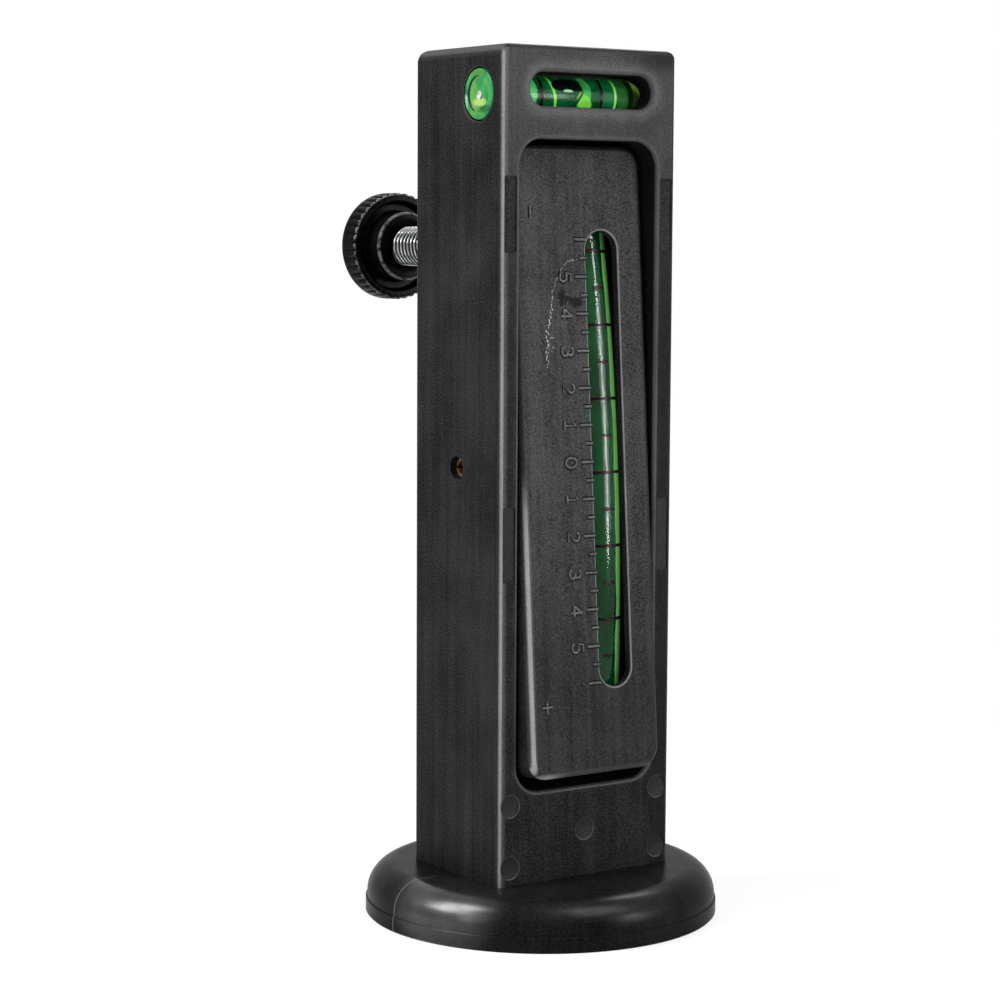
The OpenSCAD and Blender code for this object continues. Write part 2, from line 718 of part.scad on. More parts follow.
module camber_vial_lines() color([0.03, 0.03, 0.03]) on_cradle() {
    for (i = [0:vial_lines - 1]) {
        reach = i % 2 == 0 ? long_line_angle : short_line_angle;
        at_vial_height(vial_line_top - i * vial_line_pitch)
            ink_arc(vial_r, vial_line_w, -reach, reach);
    }
}

module on_level() {
    translate([0, level_y, level_z]) children();
}

module level_body() color([0.5, 0.9, 0.5, 0.35]) on_level() difference() {
    union() {
        rod_x(level_head_d / 2, level_left, level_left + level_head_t);
        rod_x(level_r, level_left, level_right - level_nose_len);
        translate([level_right - level_nose_len, 0, 0]) rotate([0, 90, 0])
            cylinder(r1 = level_r, r2 = level_nose_d / 2, h = level_nose_len);
    }
    rod_x(level_chamber_r, level_left - past, level_chamber_right);
    rod_x(level_plug_d / 2, level_left - past, level_chamber_left);
}

module level_bubble_shape(grow) {
    r = bubble_d / 2 + grow;
    rise = level_chamber_r - bubble_d / 2 - bubble_film;
    reach = bubble_len / 2 - bubble_d / 2;
    translate([-level_line_left, 0, rise]) {
        rod_x(r, -reach, reach);
        for (side = [-1, 1]) translate([side * reach, 0, 0]) sphere(r = r);
    }
}

module level_fluid() color([0.1, 0.7, 0.25, 0.8]) on_level() difference() {
    rod_x(level_chamber_r - fixed_gap, level_chamber_left + fixed_gap,
        level_chamber_right - fixed_gap);
    level_bubble_shape(fixed_gap);
}

module level_bubble() color([0.9, 1, 0.9, 0.3]) on_level() level_bubble_shape(0);

module level_plug() color([0.1, 0.75, 0.3]) on_level() difference() {
    rod_x(level_plug_d / 2 - fixed_gap, level_left, level_chamber_left);
    rod_x(level_dimple_d / 2, level_left - past, level_left + level_dimple_depth);
}

module level_lines() color([0.03, 0.03, 0.03]) on_level()
    for (side = [-1, 1]) translate([side * level_line_gap / 2 - level_line_left, 0, 0])
        rotate([0, -90, 0]) ink_arc(level_r, level_line_w, -level_line_down, level_line_up);

module threaded_insert() color([0.78, 0.6, 0.28]) translate([0, 0, screw_z]) difference() {
    rod_y(insert_d / 2 - fixed_gap, cavity_back_y, insert_back_y);
    rod_y(thread_r + running_gap, cavity_back_y - past, insert_back_y + past);
}

module adjusting_screw() color([0.75, 0.76, 0.78]) translate([0, 0, screw_z]) {
    core_r = thread_r - thread_depth;
    plain = screw_len - thread_turns * thread_pitch;
    turned_y(cap_back_y + running_gap) polygon(concat(
        [[0, 0]],
        [for (i = [0:thread_turns - 1], half = [0, 1])
            [half == 0 ? core_r : thread_r, (i + half / 2) * thread_pitch]],
        [[core_r, screw_len - plain], [core_r, screw_len - running_gap], [0, screw_len - running_gap]]));
    rod_y(tip_d / 2, cap_back_y - tip_len, cap_back_y + thread_pitch);
}

module knob_profile() {
    rim_y = knob_hub_h;
    difference() {
        union() {
            square([knob_hub_r, knob_len]);
            translate([0, rim_y]) square([knob_r, knob_rim_w]);
        }
        translate([knob_hub_r, -past])
            square([knob_r - knob_rim_t - knob_hub_r, past + rim_y + knob_groove]);
        translate([knob_hub_r, 0]) rotate([0, 0, 45]) square(knob_chamfer * sqrt(2), center = true);
        for (y = [rim_y, knob_len]) translate([knob_r, y]) rotate([0, 0, 45])
            square(knob_chamfer * sqrt(2), center = true);
        translate([-past, knob_len - knob_dish])
            square([knob_hub_r + past, knob_dish + past]);
    }
}

module knob() color([0.05, 0.05, 0.055]) translate([0, 0, screw_z]) difference() {
    intersection() {
        turned_y(knob_y) knob_profile();
        drawn_back(knob_y - past, knob_y + knob_len + past)
            polygon([for (i = [0:2 * knurl_teeth - 1])
                (knob_r + (i % 2 == 0 ? knurl_crest : -knurl_depth))
                    * [cos(i * 180 / knurl_teeth), sin(i * 180 / knurl_teeth)]]);
    }
    rod_y(thread_r + fixed_gap, knob_y - past, knob_y + knob_len - knob_floor + running_gap);
}

module thrust_cap() color([0.85, 0.85, 0.8]) translate([0, 0, screw_z]) difference() {
    intersection() {
        rod_y(cap_d / 2, cap_nose_y - past, cap_back_y);
        translate([0, cap_nose_y + cap_nose_r, 0]) sphere(r = cap_nose_r);
    }
    rod_y(tip_d / 2 + running_gap, cap_back_y - tip_len - running_gap, cap_back_y + past);
}

module return_spring() color([0.7, 0.71, 0.73]) translate([0, 0, spring_z])
    polyhedron(points = spring_points, faces = spring_faces, convexity = 10);

module magnet_cup() color([0.66, 0.67, 0.69]) difference() {
    cylinder(r = cup_r, h = cup_h);
    translate([0, 0, -past]) cylinder(r = cup_r - cup_wall, h = magnet_t + past);
    translate([0, 0, magnet_t - past]) cylinder(r = magnet_screw_r + running_gap, h = cup_h);
    translate([0, 0, magnet_t])
        cylinder(r1 = magnet_head_d / 2 + fixed_gap, r2 = magnet_screw_r + fixed_gap, h = cup_floor);
}

module ring_magnet() color([0.2, 0.2, 0.21]) difference() {
    cylinder(r = cup_r - cup_wall - fixed_gap, h = magnet_t - fixed_gap);
    translate([0, 0, -past]) cylinder(r = recess_d / 2, h = cup_h + past);
}

module magnet_screw() color([0.7, 0.71, 0.73]) difference() {
    translate([0, 0, magnet_t]) {
        cylinder(r1 = magnet_head_d / 2, r2 = magnet_screw_r, h = cup_floor);
        cylinder(r = magnet_screw_r, h = cup_floor + magnet_screw_len);
    }
    translate([0, 0, magnet_t]) cross_slots(magnet_head_d, magnet_cross_depth);
}

housing();
scale_plate();
vial_carrier();
carrier_screws();
pivot_pin();
camber_vial_tube();
camber_vial_fluid();
camber_vial_air();
camber_vial_plugs();
camber_vial_lines();
level_body();
level_fluid();
level_bubble();
level_plug();
level_lines();
threaded_insert();
adjusting_screw();
knob();
thrust_cap();
return_spring();
magnet_cup();
ring_magnet();
magnet_screw();
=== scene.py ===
"""Camber and caster gauge: the finish of every surface, the floor, the light and the camera.

Meshes are made in millimetres in the frame's own axes and scaled to metres when they are done.
"""
import bpy
import bmesh
import math
import random
from mathutils import Matrix, Vector


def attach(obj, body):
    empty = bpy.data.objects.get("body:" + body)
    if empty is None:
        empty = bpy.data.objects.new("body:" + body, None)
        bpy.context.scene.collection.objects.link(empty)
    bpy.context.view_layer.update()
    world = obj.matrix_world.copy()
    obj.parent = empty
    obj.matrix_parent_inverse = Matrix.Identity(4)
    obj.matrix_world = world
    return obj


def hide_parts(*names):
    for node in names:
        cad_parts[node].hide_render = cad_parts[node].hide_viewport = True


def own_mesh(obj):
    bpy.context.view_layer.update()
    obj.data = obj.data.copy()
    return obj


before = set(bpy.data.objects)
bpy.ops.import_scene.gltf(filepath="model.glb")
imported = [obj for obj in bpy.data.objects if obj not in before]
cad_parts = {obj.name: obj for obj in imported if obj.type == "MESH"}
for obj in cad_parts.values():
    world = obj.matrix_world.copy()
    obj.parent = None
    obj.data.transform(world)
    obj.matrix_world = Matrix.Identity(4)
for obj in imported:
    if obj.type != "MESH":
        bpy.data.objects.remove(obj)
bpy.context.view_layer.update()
chance = random.Random(7)
MM = 0.001
KINDS = 7  # material places that every mesh has while it is made

# ---------------------------------------------------------------- sizes, as in the part's source
COLUMN_W, COLUMN_D, COLUMN_TOP = 40.0, 28.5, 165.0
FRONT, BACK = -COLUMN_D / 2, COLUMN_D / 2
CAVITY_W, CAVITY_BACK = 31.4, 11.25
OPENING_BOTTOM, OPENING_TOP, OPENING_R = 26.8, 148.0, 5.0
FOOT_R, FOOT_H, FOOT_ROUND, FOOT_BAND, FOOT_STEP = 34.0, 9.5, 5.6, 3.0, 0.3
PIVOT_Z, REST_TILT = 87.0, 4.1
CRADLE_W, CRADLE_TOP, CRADLE_LOW, CRADLE_R = 30.1, 59.38, -58.58, 4.0
PLATE_FRONT, PLATE_T, SEAM, WALL = -14.0, 1.6, -5.0, 1.8
SLOT_W, SLOT_LEN, SLOT_X, SLOT_Z = 7.25, 85.8, 5.1, 0.5
DEGREE, ZERO_Z = 6.93, 0.2
VIAL_R, VIAL_BORE, VIAL_Y, VIAL_HALF = 5.0, 3.8, -8.813, 50.0
BEND_R = DEGREE * 180 / math.pi
LEVEL_Y, LEVEL_Z, LEVEL_R, LEVEL_BORE = -6.5, 156.1, 3.75, 2.85
LEVEL_LEFT, LEVEL_RIGHT, NOSE_LEN, NOSE_R = -19.8, 18.6, 5.6, 1.8
WINDOW_X, WINDOW_Z = 0.6, 157.05
SCREW_Z, KNOB_Y, THREAD_R, THREAD_DEPTH, PITCH = 128.0, 48.5, 4.0, 0.75, 1.25
SPRING_Z = 46.0
CRADLE = Matrix.Translation((0, 0, PIVOT_Z)) @ Matrix.Rotation(math.radians(-REST_TILT), 4, "X")


# ---------------------------------------------------------------- materials
class Shade:
    """A material whose nodes are added by name, on the object's own coordinates in millimetres."""

    def __init__(self, name, **surface):
        self.mat = bpy.data.materials.new(name)
        self.mat.use_nodes = True
        self.tree = self.mat.node_tree
        self.bsdf = self.tree.nodes["Principled BSDF"]
        coords = self.tree.nodes.new("ShaderNodeTexCoord")
        self.place = self.vector("SCALE", coords.outputs["Object"], scale=1000)
        self.set(**surface)

    def set(self, **surface):
        for key, value in surface.items():
            socket = self.bsdf.inputs[key.replace("_", " ")]
            if isinstance(value, bpy.types.NodeSocket):
                self.tree.links.new(value, socket)
            else:
                socket.default_value = (*value, 1) if isinstance(value, tuple) and len(value) == 3 else value

    def add(self, kind, out=0, props=None, **inputs):
        node = self.tree.nodes.new("ShaderNode" + kind)
        for key, value in (props or {}).items():
            setattr(node, key, value)
        for key, value in inputs.items():
            socket = node.inputs[int(key[1:])] if key[0] == "i" and key[1:].isdigit() else node.inputs[key.replace("_", " ")]
            if isinstance(value, bpy.types.NodeSocket):
                self.tree.links.new(value, socket)
            else:
                socket.default_value = value
        return node.outputs[out]

    def vector(self, operation, a, b=(0, 0, 0), scale=1.0):
        node = self.tree.nodes.new("ShaderNodeVectorMath")
        node.operation = operation
        self.tree.links.new(a, node.inputs[0])
        if isinstance(b, bpy.types.NodeSocket):
            self.tree.links.new(b, node.inputs[1])
        else:
            node.inputs[1].default_value = b
        if operation == "SCALE":
            node.inputs["Scale"].default_value = scale
        return node.outputs["Value" if operation in ("LENGTH", "DISTANCE", "DOT_PRODUCT") else "Vector"]

    def math(self, operation, a, b=0.5, c=0.5, clamp=False):
        node = self.tree.nodes.new("ShaderNodeMath")
        node.operation, node.use_clamp = operation, clamp
        for socket, value in zip(node.inputs, (a, b, c)):
            if isinstance(value, bpy.types.NodeSocket):
                self.tree.links.new(value, socket)
            else:
                socket.default_value = value
        return node.outputs[0]

    def times(self, a, b):
        return self.math("MULTIPLY", a, b)

    def plus(self, a, b, clamp=False):
        return self.math("ADD", a, b, clamp=clamp)

    def minus(self, a, b):
        return self.math("SUBTRACT", a, b)

    def noise(self, scale, stretch=(1, 1, 1), detail=3.0, rough=0.5, twist=0.0, at=None):
        """Noise with features about 1/scale millimetres wide."""
        place = self.vector("MULTIPLY", at or self.place, stretch)
        return self.add("TexNoise", Vector=place, Scale=scale, Detail=detail, Roughness=rough, Distortion=twist)

    def step(self, value, low, high):
        """0 below low, 1 above high, smooth between; runs the other way when low is the larger."""
        flip = low > high
        lo, hi = min(low, high), max(low, high)
        return self.add("MapRange", props={"interpolation_type": "SMOOTHSTEP"}, Value=value,
                        From_Min=lo, From_Max=hi, To_Min=1.0 if flip else 0.0, To_Max=0.0 if flip else 1.0)

    def blend(self, amount, a, b):
        """Colour a where amount is 0 and colour b where it is 1."""
        node = self.tree.nodes.new("ShaderNodeMix")
        node.data_type = "RGBA"
        sockets = [s for s in node.inputs if s.type == "RGBA"]
        factor = [s for s in node.inputs if s.name == "Factor" and s.type == "VALUE"][0]
        for socket, value in zip([factor] + sockets, (amount, a, b)):
            if isinstance(value, bpy.types.NodeSocket):
                self.tree.links.new(value, socket)
            else:
                socket.default_value = (*value, 1) if isinstance(value, tuple) and len(value) == 3 else value
        return [s for s in node.outputs if s.type == "RGBA"][0]

    def bump(self, height, depth, after=None):
        """Bump of about depth millimetres."""
        node = self.tree.nodes.new("ShaderNodeBump")
        node.inputs["Strength"].default_value = 1.0
        node.inputs["Distance"].default_value = depth * MM
        self.tree.links.new(height, node.inputs["Height"])
        if after:
            self.tree.links.new(after, node.inputs["Normal"])
        return node.outputs["Normal"]

    def axis(self, letter, at=None):
        return self.add("SeparateXYZ", out="XYZ".index(letter), Vector=at or self.place)

    def split(self):
        return [self.axis(letter) for letter in "XYZ"]

    def cradle(self):
        """Coordinates in the cradle's own frame, as it stands at rest."""
        x, y, z = self.split()
        c, s = math.cos(math.radians(REST_TILT)), math.sin(math.radians(REST_TILT))
        z = self.minus(z, PIVOT_Z)
        return [x, self.minus(self.times(y, c), self.times(z, s)),
                self.plus(self.times(y, s), self.times(z, c))]

    def from_screw(self):
        """Distance from the adjusting screw's axis."""
        x, dz = self.axis("X"), self.minus(self.axis("Z"), SCREW_Z)
        return self.math("SQRT", self.plus(self.times(x, x), self.times(dz, dz)))

    def outside(self, x, z, centre, half, r):
        """Distance outside a rounded rectangle, in the plane of x and z."""
        away = []
        for value, middle, reach in zip((x, z), centre, half):
            gap = self.math("ABSOLUTE", self.minus(value, middle))
            gap = self.math("MAXIMUM", self.minus(gap, reach - r), 0.0)
            away.append(self.times(gap, gap))
        return self.minus(self.math("SQRT", self.plus(*away)), r)


def moulded(name, tone, rough=0.5, gloss=0.03, grain=0.02, contrast=1.0, scratch=0.35, wear_and_light=None, worn_and_lit=0.14,
            polish=None):
    """Black moulding with fine grain, upright flow streaks and thin scratches; where wear_and_light gives 1 it turns
    paler (rubbing and painted highlight), and where its shade gives 1 it turns darker (painted shade, with one scuffed
    patch on the housing).
    """
    s = Shade(name)
    cloud = s.noise(0.06, detail=5, rough=0.6)
    fine = s.noise(3.1, detail=4, rough=0.75)
    drawn = s.noise(1.1, stretch=(1, 1, 0.03), detail=4)
    band = s.noise(0.28, stretch=(1, 1, 0.02), detail=2)
    tilted = s.vector("ADD", s.place, s.add("CombineXYZ", X=s.times(s.axis("Z"), 0.16)))
    line = s.noise(3.2, stretch=(1, 1, 0.03), detail=1, at=tilted)
    patch = s.step(s.noise(0.15, detail=1), 0.5, 0.62)
    marks = s.times(s.step(line, 0.70, 0.80), patch)
    mixed = s.times(cloud, 0.8)
    for part, share in ((fine, 2.4), (drawn, 0.38), (band, 0.4)):
        mixed = s.plus(mixed, s.times(part, share))
    mixed = s.add("MapRange", Value=mixed, From_Min=2.03 - 0.44 / contrast, From_Max=2.03 + 0.44 / contrast)
    pale = tuple(tone * c for c in (1.0, 1.0, 1.01))
    colour = s.blend(mixed, tuple(c * 0.1 for c in pale), tuple(c * 2.0 for c in pale))
    colour = s.blend(s.times(marks, scratch), colour, tuple(c * 3.5 for c in pale))
    # paler blend: rubbing and painted highlight; darker blend: mostly painted shade
    if wear_and_light:
        amount, shade = wear_and_light(s)
        patchy = s.step(s.plus(s.times(fine, 0.7), s.times(cloud, 0.5)), 0.25, 0.75)
        colour = s.blend(s.times(amount, s.plus(s.times(patchy, 0.7), 0.3)), colour,
                         (worn_and_lit, worn_and_lit, worn_and_lit * 1.01))
        if shade:
            colour = s.blend(shade, colour, tuple(c * 0.25 for c in pale))
    roughness = s.plus(s.times(s.minus(cloud, 0.5), 0.35), rough, clamp=True)
    normal = s.bump(marks, -0.01, s.bump(fine, grain))
    s.set(Base_Color=colour, Roughness=roughness, Specular_IOR_Level=gloss, Normal=normal)
    if polish:
        s.set(Coat_Weight=polish(s), Coat_Roughness=0.28)
    return s


def housing_wear(s):
    """Painted light on the front face with some rubbing: paler halos round the window and the opening (rubbing and
    painted highlight), a painted highlight by the front left corner and a painted lighter top; painted shade at the
    right and towards the foot, and a darker scuffed patch at the top right.
    """
    x, y, z = s.split()
    front = s.step(y, FRONT + 0.9, FRONT + 0.3)
    soft = s.times(s.minus(s.noise(0.35, detail=3), 0.5), 1.8)
    # halos round the window and the opening: rubbing and painted highlight
    window = s.step(s.plus(s.outside(x, z, (WINDOW_X, WINDOW_Z), (13.9, 3.15), 3.14), soft), 3.2, 0.1)
    rim = s.step(s.plus(s.outside(x, z, (0, 87.4), (CAVITY_W / 2, 60.6), OPENING_R), soft), 1.4, 0.0)
    # painted light: paler towards the top of the face
    high = s.times(s.step(z, 112, 162), 0.24)
    # painted highlight beside the front left corner
    corner = s.times(s.step(x, -18.0, -19.2), 0.42)
    amount = s.plus(s.times(window, 0.36), s.times(rim, 0.16))
    amount = s.times(s.plus(s.plus(amount, corner), high), front)
    scuffed = s.times(s.step(x, 7, 17), s.step(z, 159.5, 163.5))
    # painted shade: darker towards the foot, where the column meets it
    low = s.times(s.step(z, 30, 11), 0.08)
    # painted shade: the right margin is darker below the top
    side = s.times(s.times(s.step(x, 14.5, 17.5), s.step(z, 146, 126)), 0.5)
    shade = s.times(s.math("MAXIMUM", s.math("MAXIMUM", low, side), s.times(scuffed, 0.75)), front)
    return s.math("MINIMUM", amount, 1.0), shade


def corner_wear(s):
    """The front left corner is paler where it meets the face, and the rims of the openings a little: painted highlights
    with some rubbing. The rounded top edge is darker: painted shade.
    """
    x, z = s.axis("X"), s.axis("Z")
    ridge = s.times(s.step(x, -19.95, -19.6), s.step(x, -19.0, -19.45))
    slope = s.times(s.step(x, -19.95, -19.5), s.step(x, -18.6, -19.2))
    corner = s.plus(s.times(ridge, 0.55), s.times(slope, 0.28))
    rims = s.times(s.step(s.math("ABSOLUTE", x), 18.4, 17.8), 0.2)
    # painted shade: the rounded top edge is darker
    return s.math("MAXIMUM", corner, rims), s.times(s.step(z, 163.0, 164.3), 0.8)


def foot_wear(s):
    """The pale parting line of the mould across the foot."""
    x, y = s.axis("X"), s.axis("Y")
    seam = s.times(s.step(s.math("ABSOLUTE", y), 0.22, 0.05), s.step(x, -23.0, -27.0))
    return s.times(seam, 0.6), None


def foot_polish(s):
    """Two places on the foot's round shoulder are polished by handling, the left one most."""
    z = s.axis("Z")
    cloud = s.plus(s.times(s.noise(0.3, detail=4), 0.9), 0.5)
    left = s.step(s.vector("DISTANCE", s.place, (-28.0, -10.4, 8.0)), 14.0, 6.0)
    right = s.times(s.step(s.vector("DISTANCE", s.place, (-6.8, -29.1, 8.0)), 18.0, 8.0),
                   s.times(s.step(z, 5.0, 7.0), 0.2))
    return s.times(s.math("MAXIMUM", left, right), cloud)


def plate_wear(s):
    """Paler rim round the slot except on its left side and along the left edge, both painted highlight; a painted
    lighter upper part; faint upright bands; smudges by the upper digits; painted shade darkening the lower end.
    """
    x, y, z = s.cradle()
    front = s.step(y, PLATE_FRONT + 0.35, PLATE_FRONT + 0.1)
    slot = s.outside(x, z, (SLOT_X, SLOT_Z), (SLOT_W / 2, SLOT_LEN / 2), SLOT_W / 2 - 0.02)
    # painted highlight: the slot's rim is paler except on its left side
    slot_rim = s.times(s.step(slot, 0.6, 0.1), s.step(x, 1.6, 3.5))
    line = s.step(s.math("ABSOLUTE", s.plus(x, 1.5)), 0.22, 0.0)
    bands = s.step(s.noise(0.5, stretch=(1, 0.1, 0.02), detail=3), 0.42, 0.7)
    # painted light: paler towards the top
    broad = s.times(s.step(z, -50, 5), 0.07)
    # painted highlight: the face is paler along its left edge from the middle down
    edge = s.times(s.times(s.step(x, -13.2, -13.9), s.step(z, 0, -14)), 0.5)
    amount = s.plus(s.times(slot_rim, 0.55), s.times(line, 0.06))
    for part, share in ((bands, 0.10), (edge, 1.0), (broad, 1.0)):
        amount = s.plus(amount, s.times(part, share))
    # painted shade: darker towards the bottom; the smudge spots added below are dirt
    smudge_and_shade = s.times(s.step(z, -12, -50), 0.42)
    for cx, cz, rx, rz in ((-4.3, 31.0, 1.2, 1.9), (-1.0, 30.1, 2.1, 1.2), (-2.6, 30.8, 1.6, 0.5)):
        dx = s.math("DIVIDE", s.minus(x, cx), rx)
        dz = s.math("DIVIDE", s.minus(z, cz), rz)
        far = s.plus(s.times(dx, dx), s.times(dz, dz))
        far = s.plus(far, s.times(s.noise(1.6, detail=5, rough=0.7), 4.5))
        spot = s.step(far, 3.1, 2.7)
        smudge_and_shade = s.math("MAXIMUM", smudge_and_shade, spot)
    return s.times(amount, front), smudge_and_shade


def edge_wear(s):
    """The plate's left edge is paler from the middle down, most where it meets the face, its bottom a little, and the
    slot's rounded rim at half strength: painted highlights where these edges catch the light, with some rubbing.
    """
    x, y, z = s.cradle()
    ridge = s.plus(s.times(s.step(x, -14.9, -14.5), 0.8), 0.05)
    left = s.times(s.times(s.step(x, -13.3, -14.2), s.step(z, 0, -14)), ridge)
    low = s.times(s.step(z, -57.2, -58.2), s.plus(s.times(s.step(x, -6, -13), 0.6), 0.1))
    rim = s.times(s.step(s.math("ABSOLUTE", s.minus(x, SLOT_X)), 6.5, 5.5),
                 s.step(s.math("ABSOLUTE", z), 51, 49))
    rim = s.times(s.times(rim, s.step(y, PLATE_FRONT + 0.25, PLATE_FRONT + 0.1)), 0.5)
    return s.math("MAXIMUM", s.math("MAXIMUM", left, low), rim), None


housing_skin = moulded("housing_skin", 0.0125, contrast=1.5, wear_and_light=housing_wear)
housing_edge = moulded("housing_edge", 0.012, 0.45, 0.08, wear_and_light=corner_wear, worn_and_lit=0.27)
housing_pit = moulded("housing_pit", 0.012, 0.7, 0.08, grain=0.12, contrast=1.5)
# cavity_skin is darker than the outer skin: painted shade in the cavity and bores
cavity_skin = moulded("cavity_skin", 0.006, 0.6, 0.08)
foot_skin = moulded("foot_skin", 0.0065, 0.3, 0.02, grain=0.005, scratch=0.2, wear_and_light=foot_wear, polish=foot_polish)
mark_skin = moulded("mark_skin", 0.0085, 0.6, 0.1)
plate_skin = moulded("plate_skin", 0.0225, contrast=1.6, wear_and_light=plate_wear)
plate_edge = moulded("plate_edge", 0.012, 0.45, 0.08, wear_and_light=edge_wear, worn_and_lit=0.30)
# raised_skin is paler than the plate: a painted highlight on the raised ticks and digits; outline_skin is a painted
# shade outline round them
raised_skin = moulded("raised_skin", 0.07, 0.45, 0.15, scratch=0)
outline_skin = moulded("outline_skin", 0.004, 0.7, 0.04, scratch=0)
scuff_skin = moulded("scuff_skin", 0.26, 0.6, 0.1, scratch=0)
hair_skin = moulded("hair_skin", 0.010, 0.6, 0.04, scratch=0)
carrier_skin = moulded("carrier_skin", 0.009)


def knob_finish():
    """Near black gloss, paler all round on the knurl's front crests and on the hub's rim: rubbing and a painted
    highlight where these edges catch the light.
    """
    s = Shade("knob_finish")
    y, r = s.axis("Y"), s.from_screw()
    fine = s.noise(2.2, detail=3)
    smear = s.noise(0.25, detail=3, twist=0.8)
    crest = s.times(s.step(r, 10.35, 10.6),
                    s.step(s.math("ABSOLUTE", s.minus(y, KNOB_Y + 3.25)), 0.32, 0.12))
    hub = s.times(s.step(s.math("ABSOLUTE", s.minus(r, 6.75)), 0.4, 0.1),
                  s.step(y, KNOB_Y + 0.7, KNOB_Y + 0.3))
    # paler crests and hub rim: rubbing and painted highlight
    rubbed_and_lit = s.times(s.math("MAXIMUM", crest, hub), s.step(s.noise(0.9, detail=4), 0.3, 0.6))
    colour = s.blend(s.step(smear, 0.35, 0.75), (0.0015, 0.0015, 0.0016), (0.004, 0.004, 0.0041))
    colour = s.blend(rubbed_and_lit, colour, (0.13, 0.13, 0.13))
    s.set(Base_Color=colour, Roughness=s.plus(s.times(smear, 0.2), 0.16),
          Specular_IOR_Level=0.02, Normal=s.bump(fine, 0.006))
    return s


def metal(name, dark, light, rough, scale=0.6, stretch=(1, 1, 1), grain=0.004, gap=None):
    """Bare metal; gap is a (radius, radius) pair between which it goes from dark to bright about the screw's axis, a
    painted shade in the thread's roots.
    """
    s = Shade(name, Metallic=1.0)
    cloud = s.noise(scale, detail=4)
    brushed = s.noise(5.0, stretch=stretch, detail=3)
    tone = s.step(s.plus(s.times(cloud, 0.7), s.times(brushed, 0.5)), 0.3, 0.9)
    colour = s.blend(tone, dark, light)
    # painted shade: near black in the thread's roots
    if gap:
        colour = s.blend(s.step(s.from_screw(), *gap), (0.012, 0.012, 0.011), colour)
    s.set(Base_Color=colour, Roughness=s.plus(s.times(s.minus(1.0, tone), 0.22), rough),
          Normal=s.bump(brushed, grain))
    return s


knob_skin = knob_finish()
zinc = metal("zinc", (0.52, 0.53, 0.55), (0.86, 0.87, 0.88), 0.16, grain=0.003)
zinc_thread = metal("zinc_thread", (0.20, 0.21, 0.22), (0.52, 0.53, 0.54), 0.2, grain=0.003, gap=(3.66, 3.98))
spring_wire = metal("spring_wire", (0.42, 0.43, 0.45), (0.66, 0.67, 0.68), 0.24)
nickel = metal("nickel", (0.5, 0.5, 0.49), (0.74, 0.73, 0.71), 0.22, scale=0.12, stretch=(0.4, 0.4, 1))
brass = metal("brass_finish", (0.42, 0.27, 0.08), (0.78, 0.55, 0.22), 0.25)
bronze = metal("bronze", (0.20, 0.10, 0.04), (0.78, 0.42, 0.18), 0.3, scale=0.9)


def ferrite_finish():
    s = Shade("ferrite_finish")
    grain = s.noise(1.8, detail=4, rough=0.7)
    ground = s.noise(2.5, stretch=(0.04, 1, 1), detail=2)
    colour = s.blend(s.step(s.plus(s.times(grain, 0.6), s.times(ground, 0.4)), 0.35, 0.7),
                     (0.018, 0.018, 0.02), (0.055, 0.055, 0.058))
    s.set(Base_Color=colour, Roughness=0.48, Specular_IOR_Level=0.5, Normal=s.bump(ground, 0.01, s.bump(grain, 0.01)))
    return s


def nylon_finish():
    s = Shade("nylon", Subsurface_Weight=0.3, Subsurface_Scale=0.001)
    cloud = s.noise(0.5, detail=4)
    s.set(Base_Color=s.blend(s.step(cloud, 0.35, 0.7), (0.62, 0.58, 0.48), (0.74, 0.71, 0.62)),
          Roughness=s.plus(s.times(cloud, 0.2), 0.32), Normal=s.bump(s.noise(2.5), 0.008))
    return s


def edge_lit(name, tint, band, rim, glow, see_through=1.0, gloss=0.3, cuts=(0.28, 0.36, 0.42, 0.50), bend=1.26):
    """Clear moulding: tint face on, a painted dark band where it turns away from view, and a painted bright rim at
    grazing view that glows by emission, standing in for light gathered in the dyed wall.
    """
    s = Shade(name, IOR=bend, Specular_IOR_Level=gloss)
    # facing is the view angle: the band and rim colours and the glow are painted shade and light
    facing = s.add("LayerWeight", out=1, Blend=0.5)
    flow = s.noise(0.5, stretch=(1, 1, 0.3), detail=3)
    wave = s.plus(facing, s.times(s.minus(flow, 0.5), 0.16))
    lit = s.step(wave, cuts[2], cuts[3])
    colour = s.blend(s.step(wave, cuts[0], cuts[1]), tint, band)
    colour = s.blend(lit, colour, rim)
    s.set(Base_Color=colour, Emission_Color=s.blend(lit, (0.0, 0.0, 0.0), rim), Emission_Strength=glow,
          Transmission_Weight=s.times(s.minus(1.0, s.times(lit, 0.85)), see_through),
          Roughness=s.plus(s.times(flow, 0.02), 0.08), Normal=s.bump(flow, 0.003))
    return s


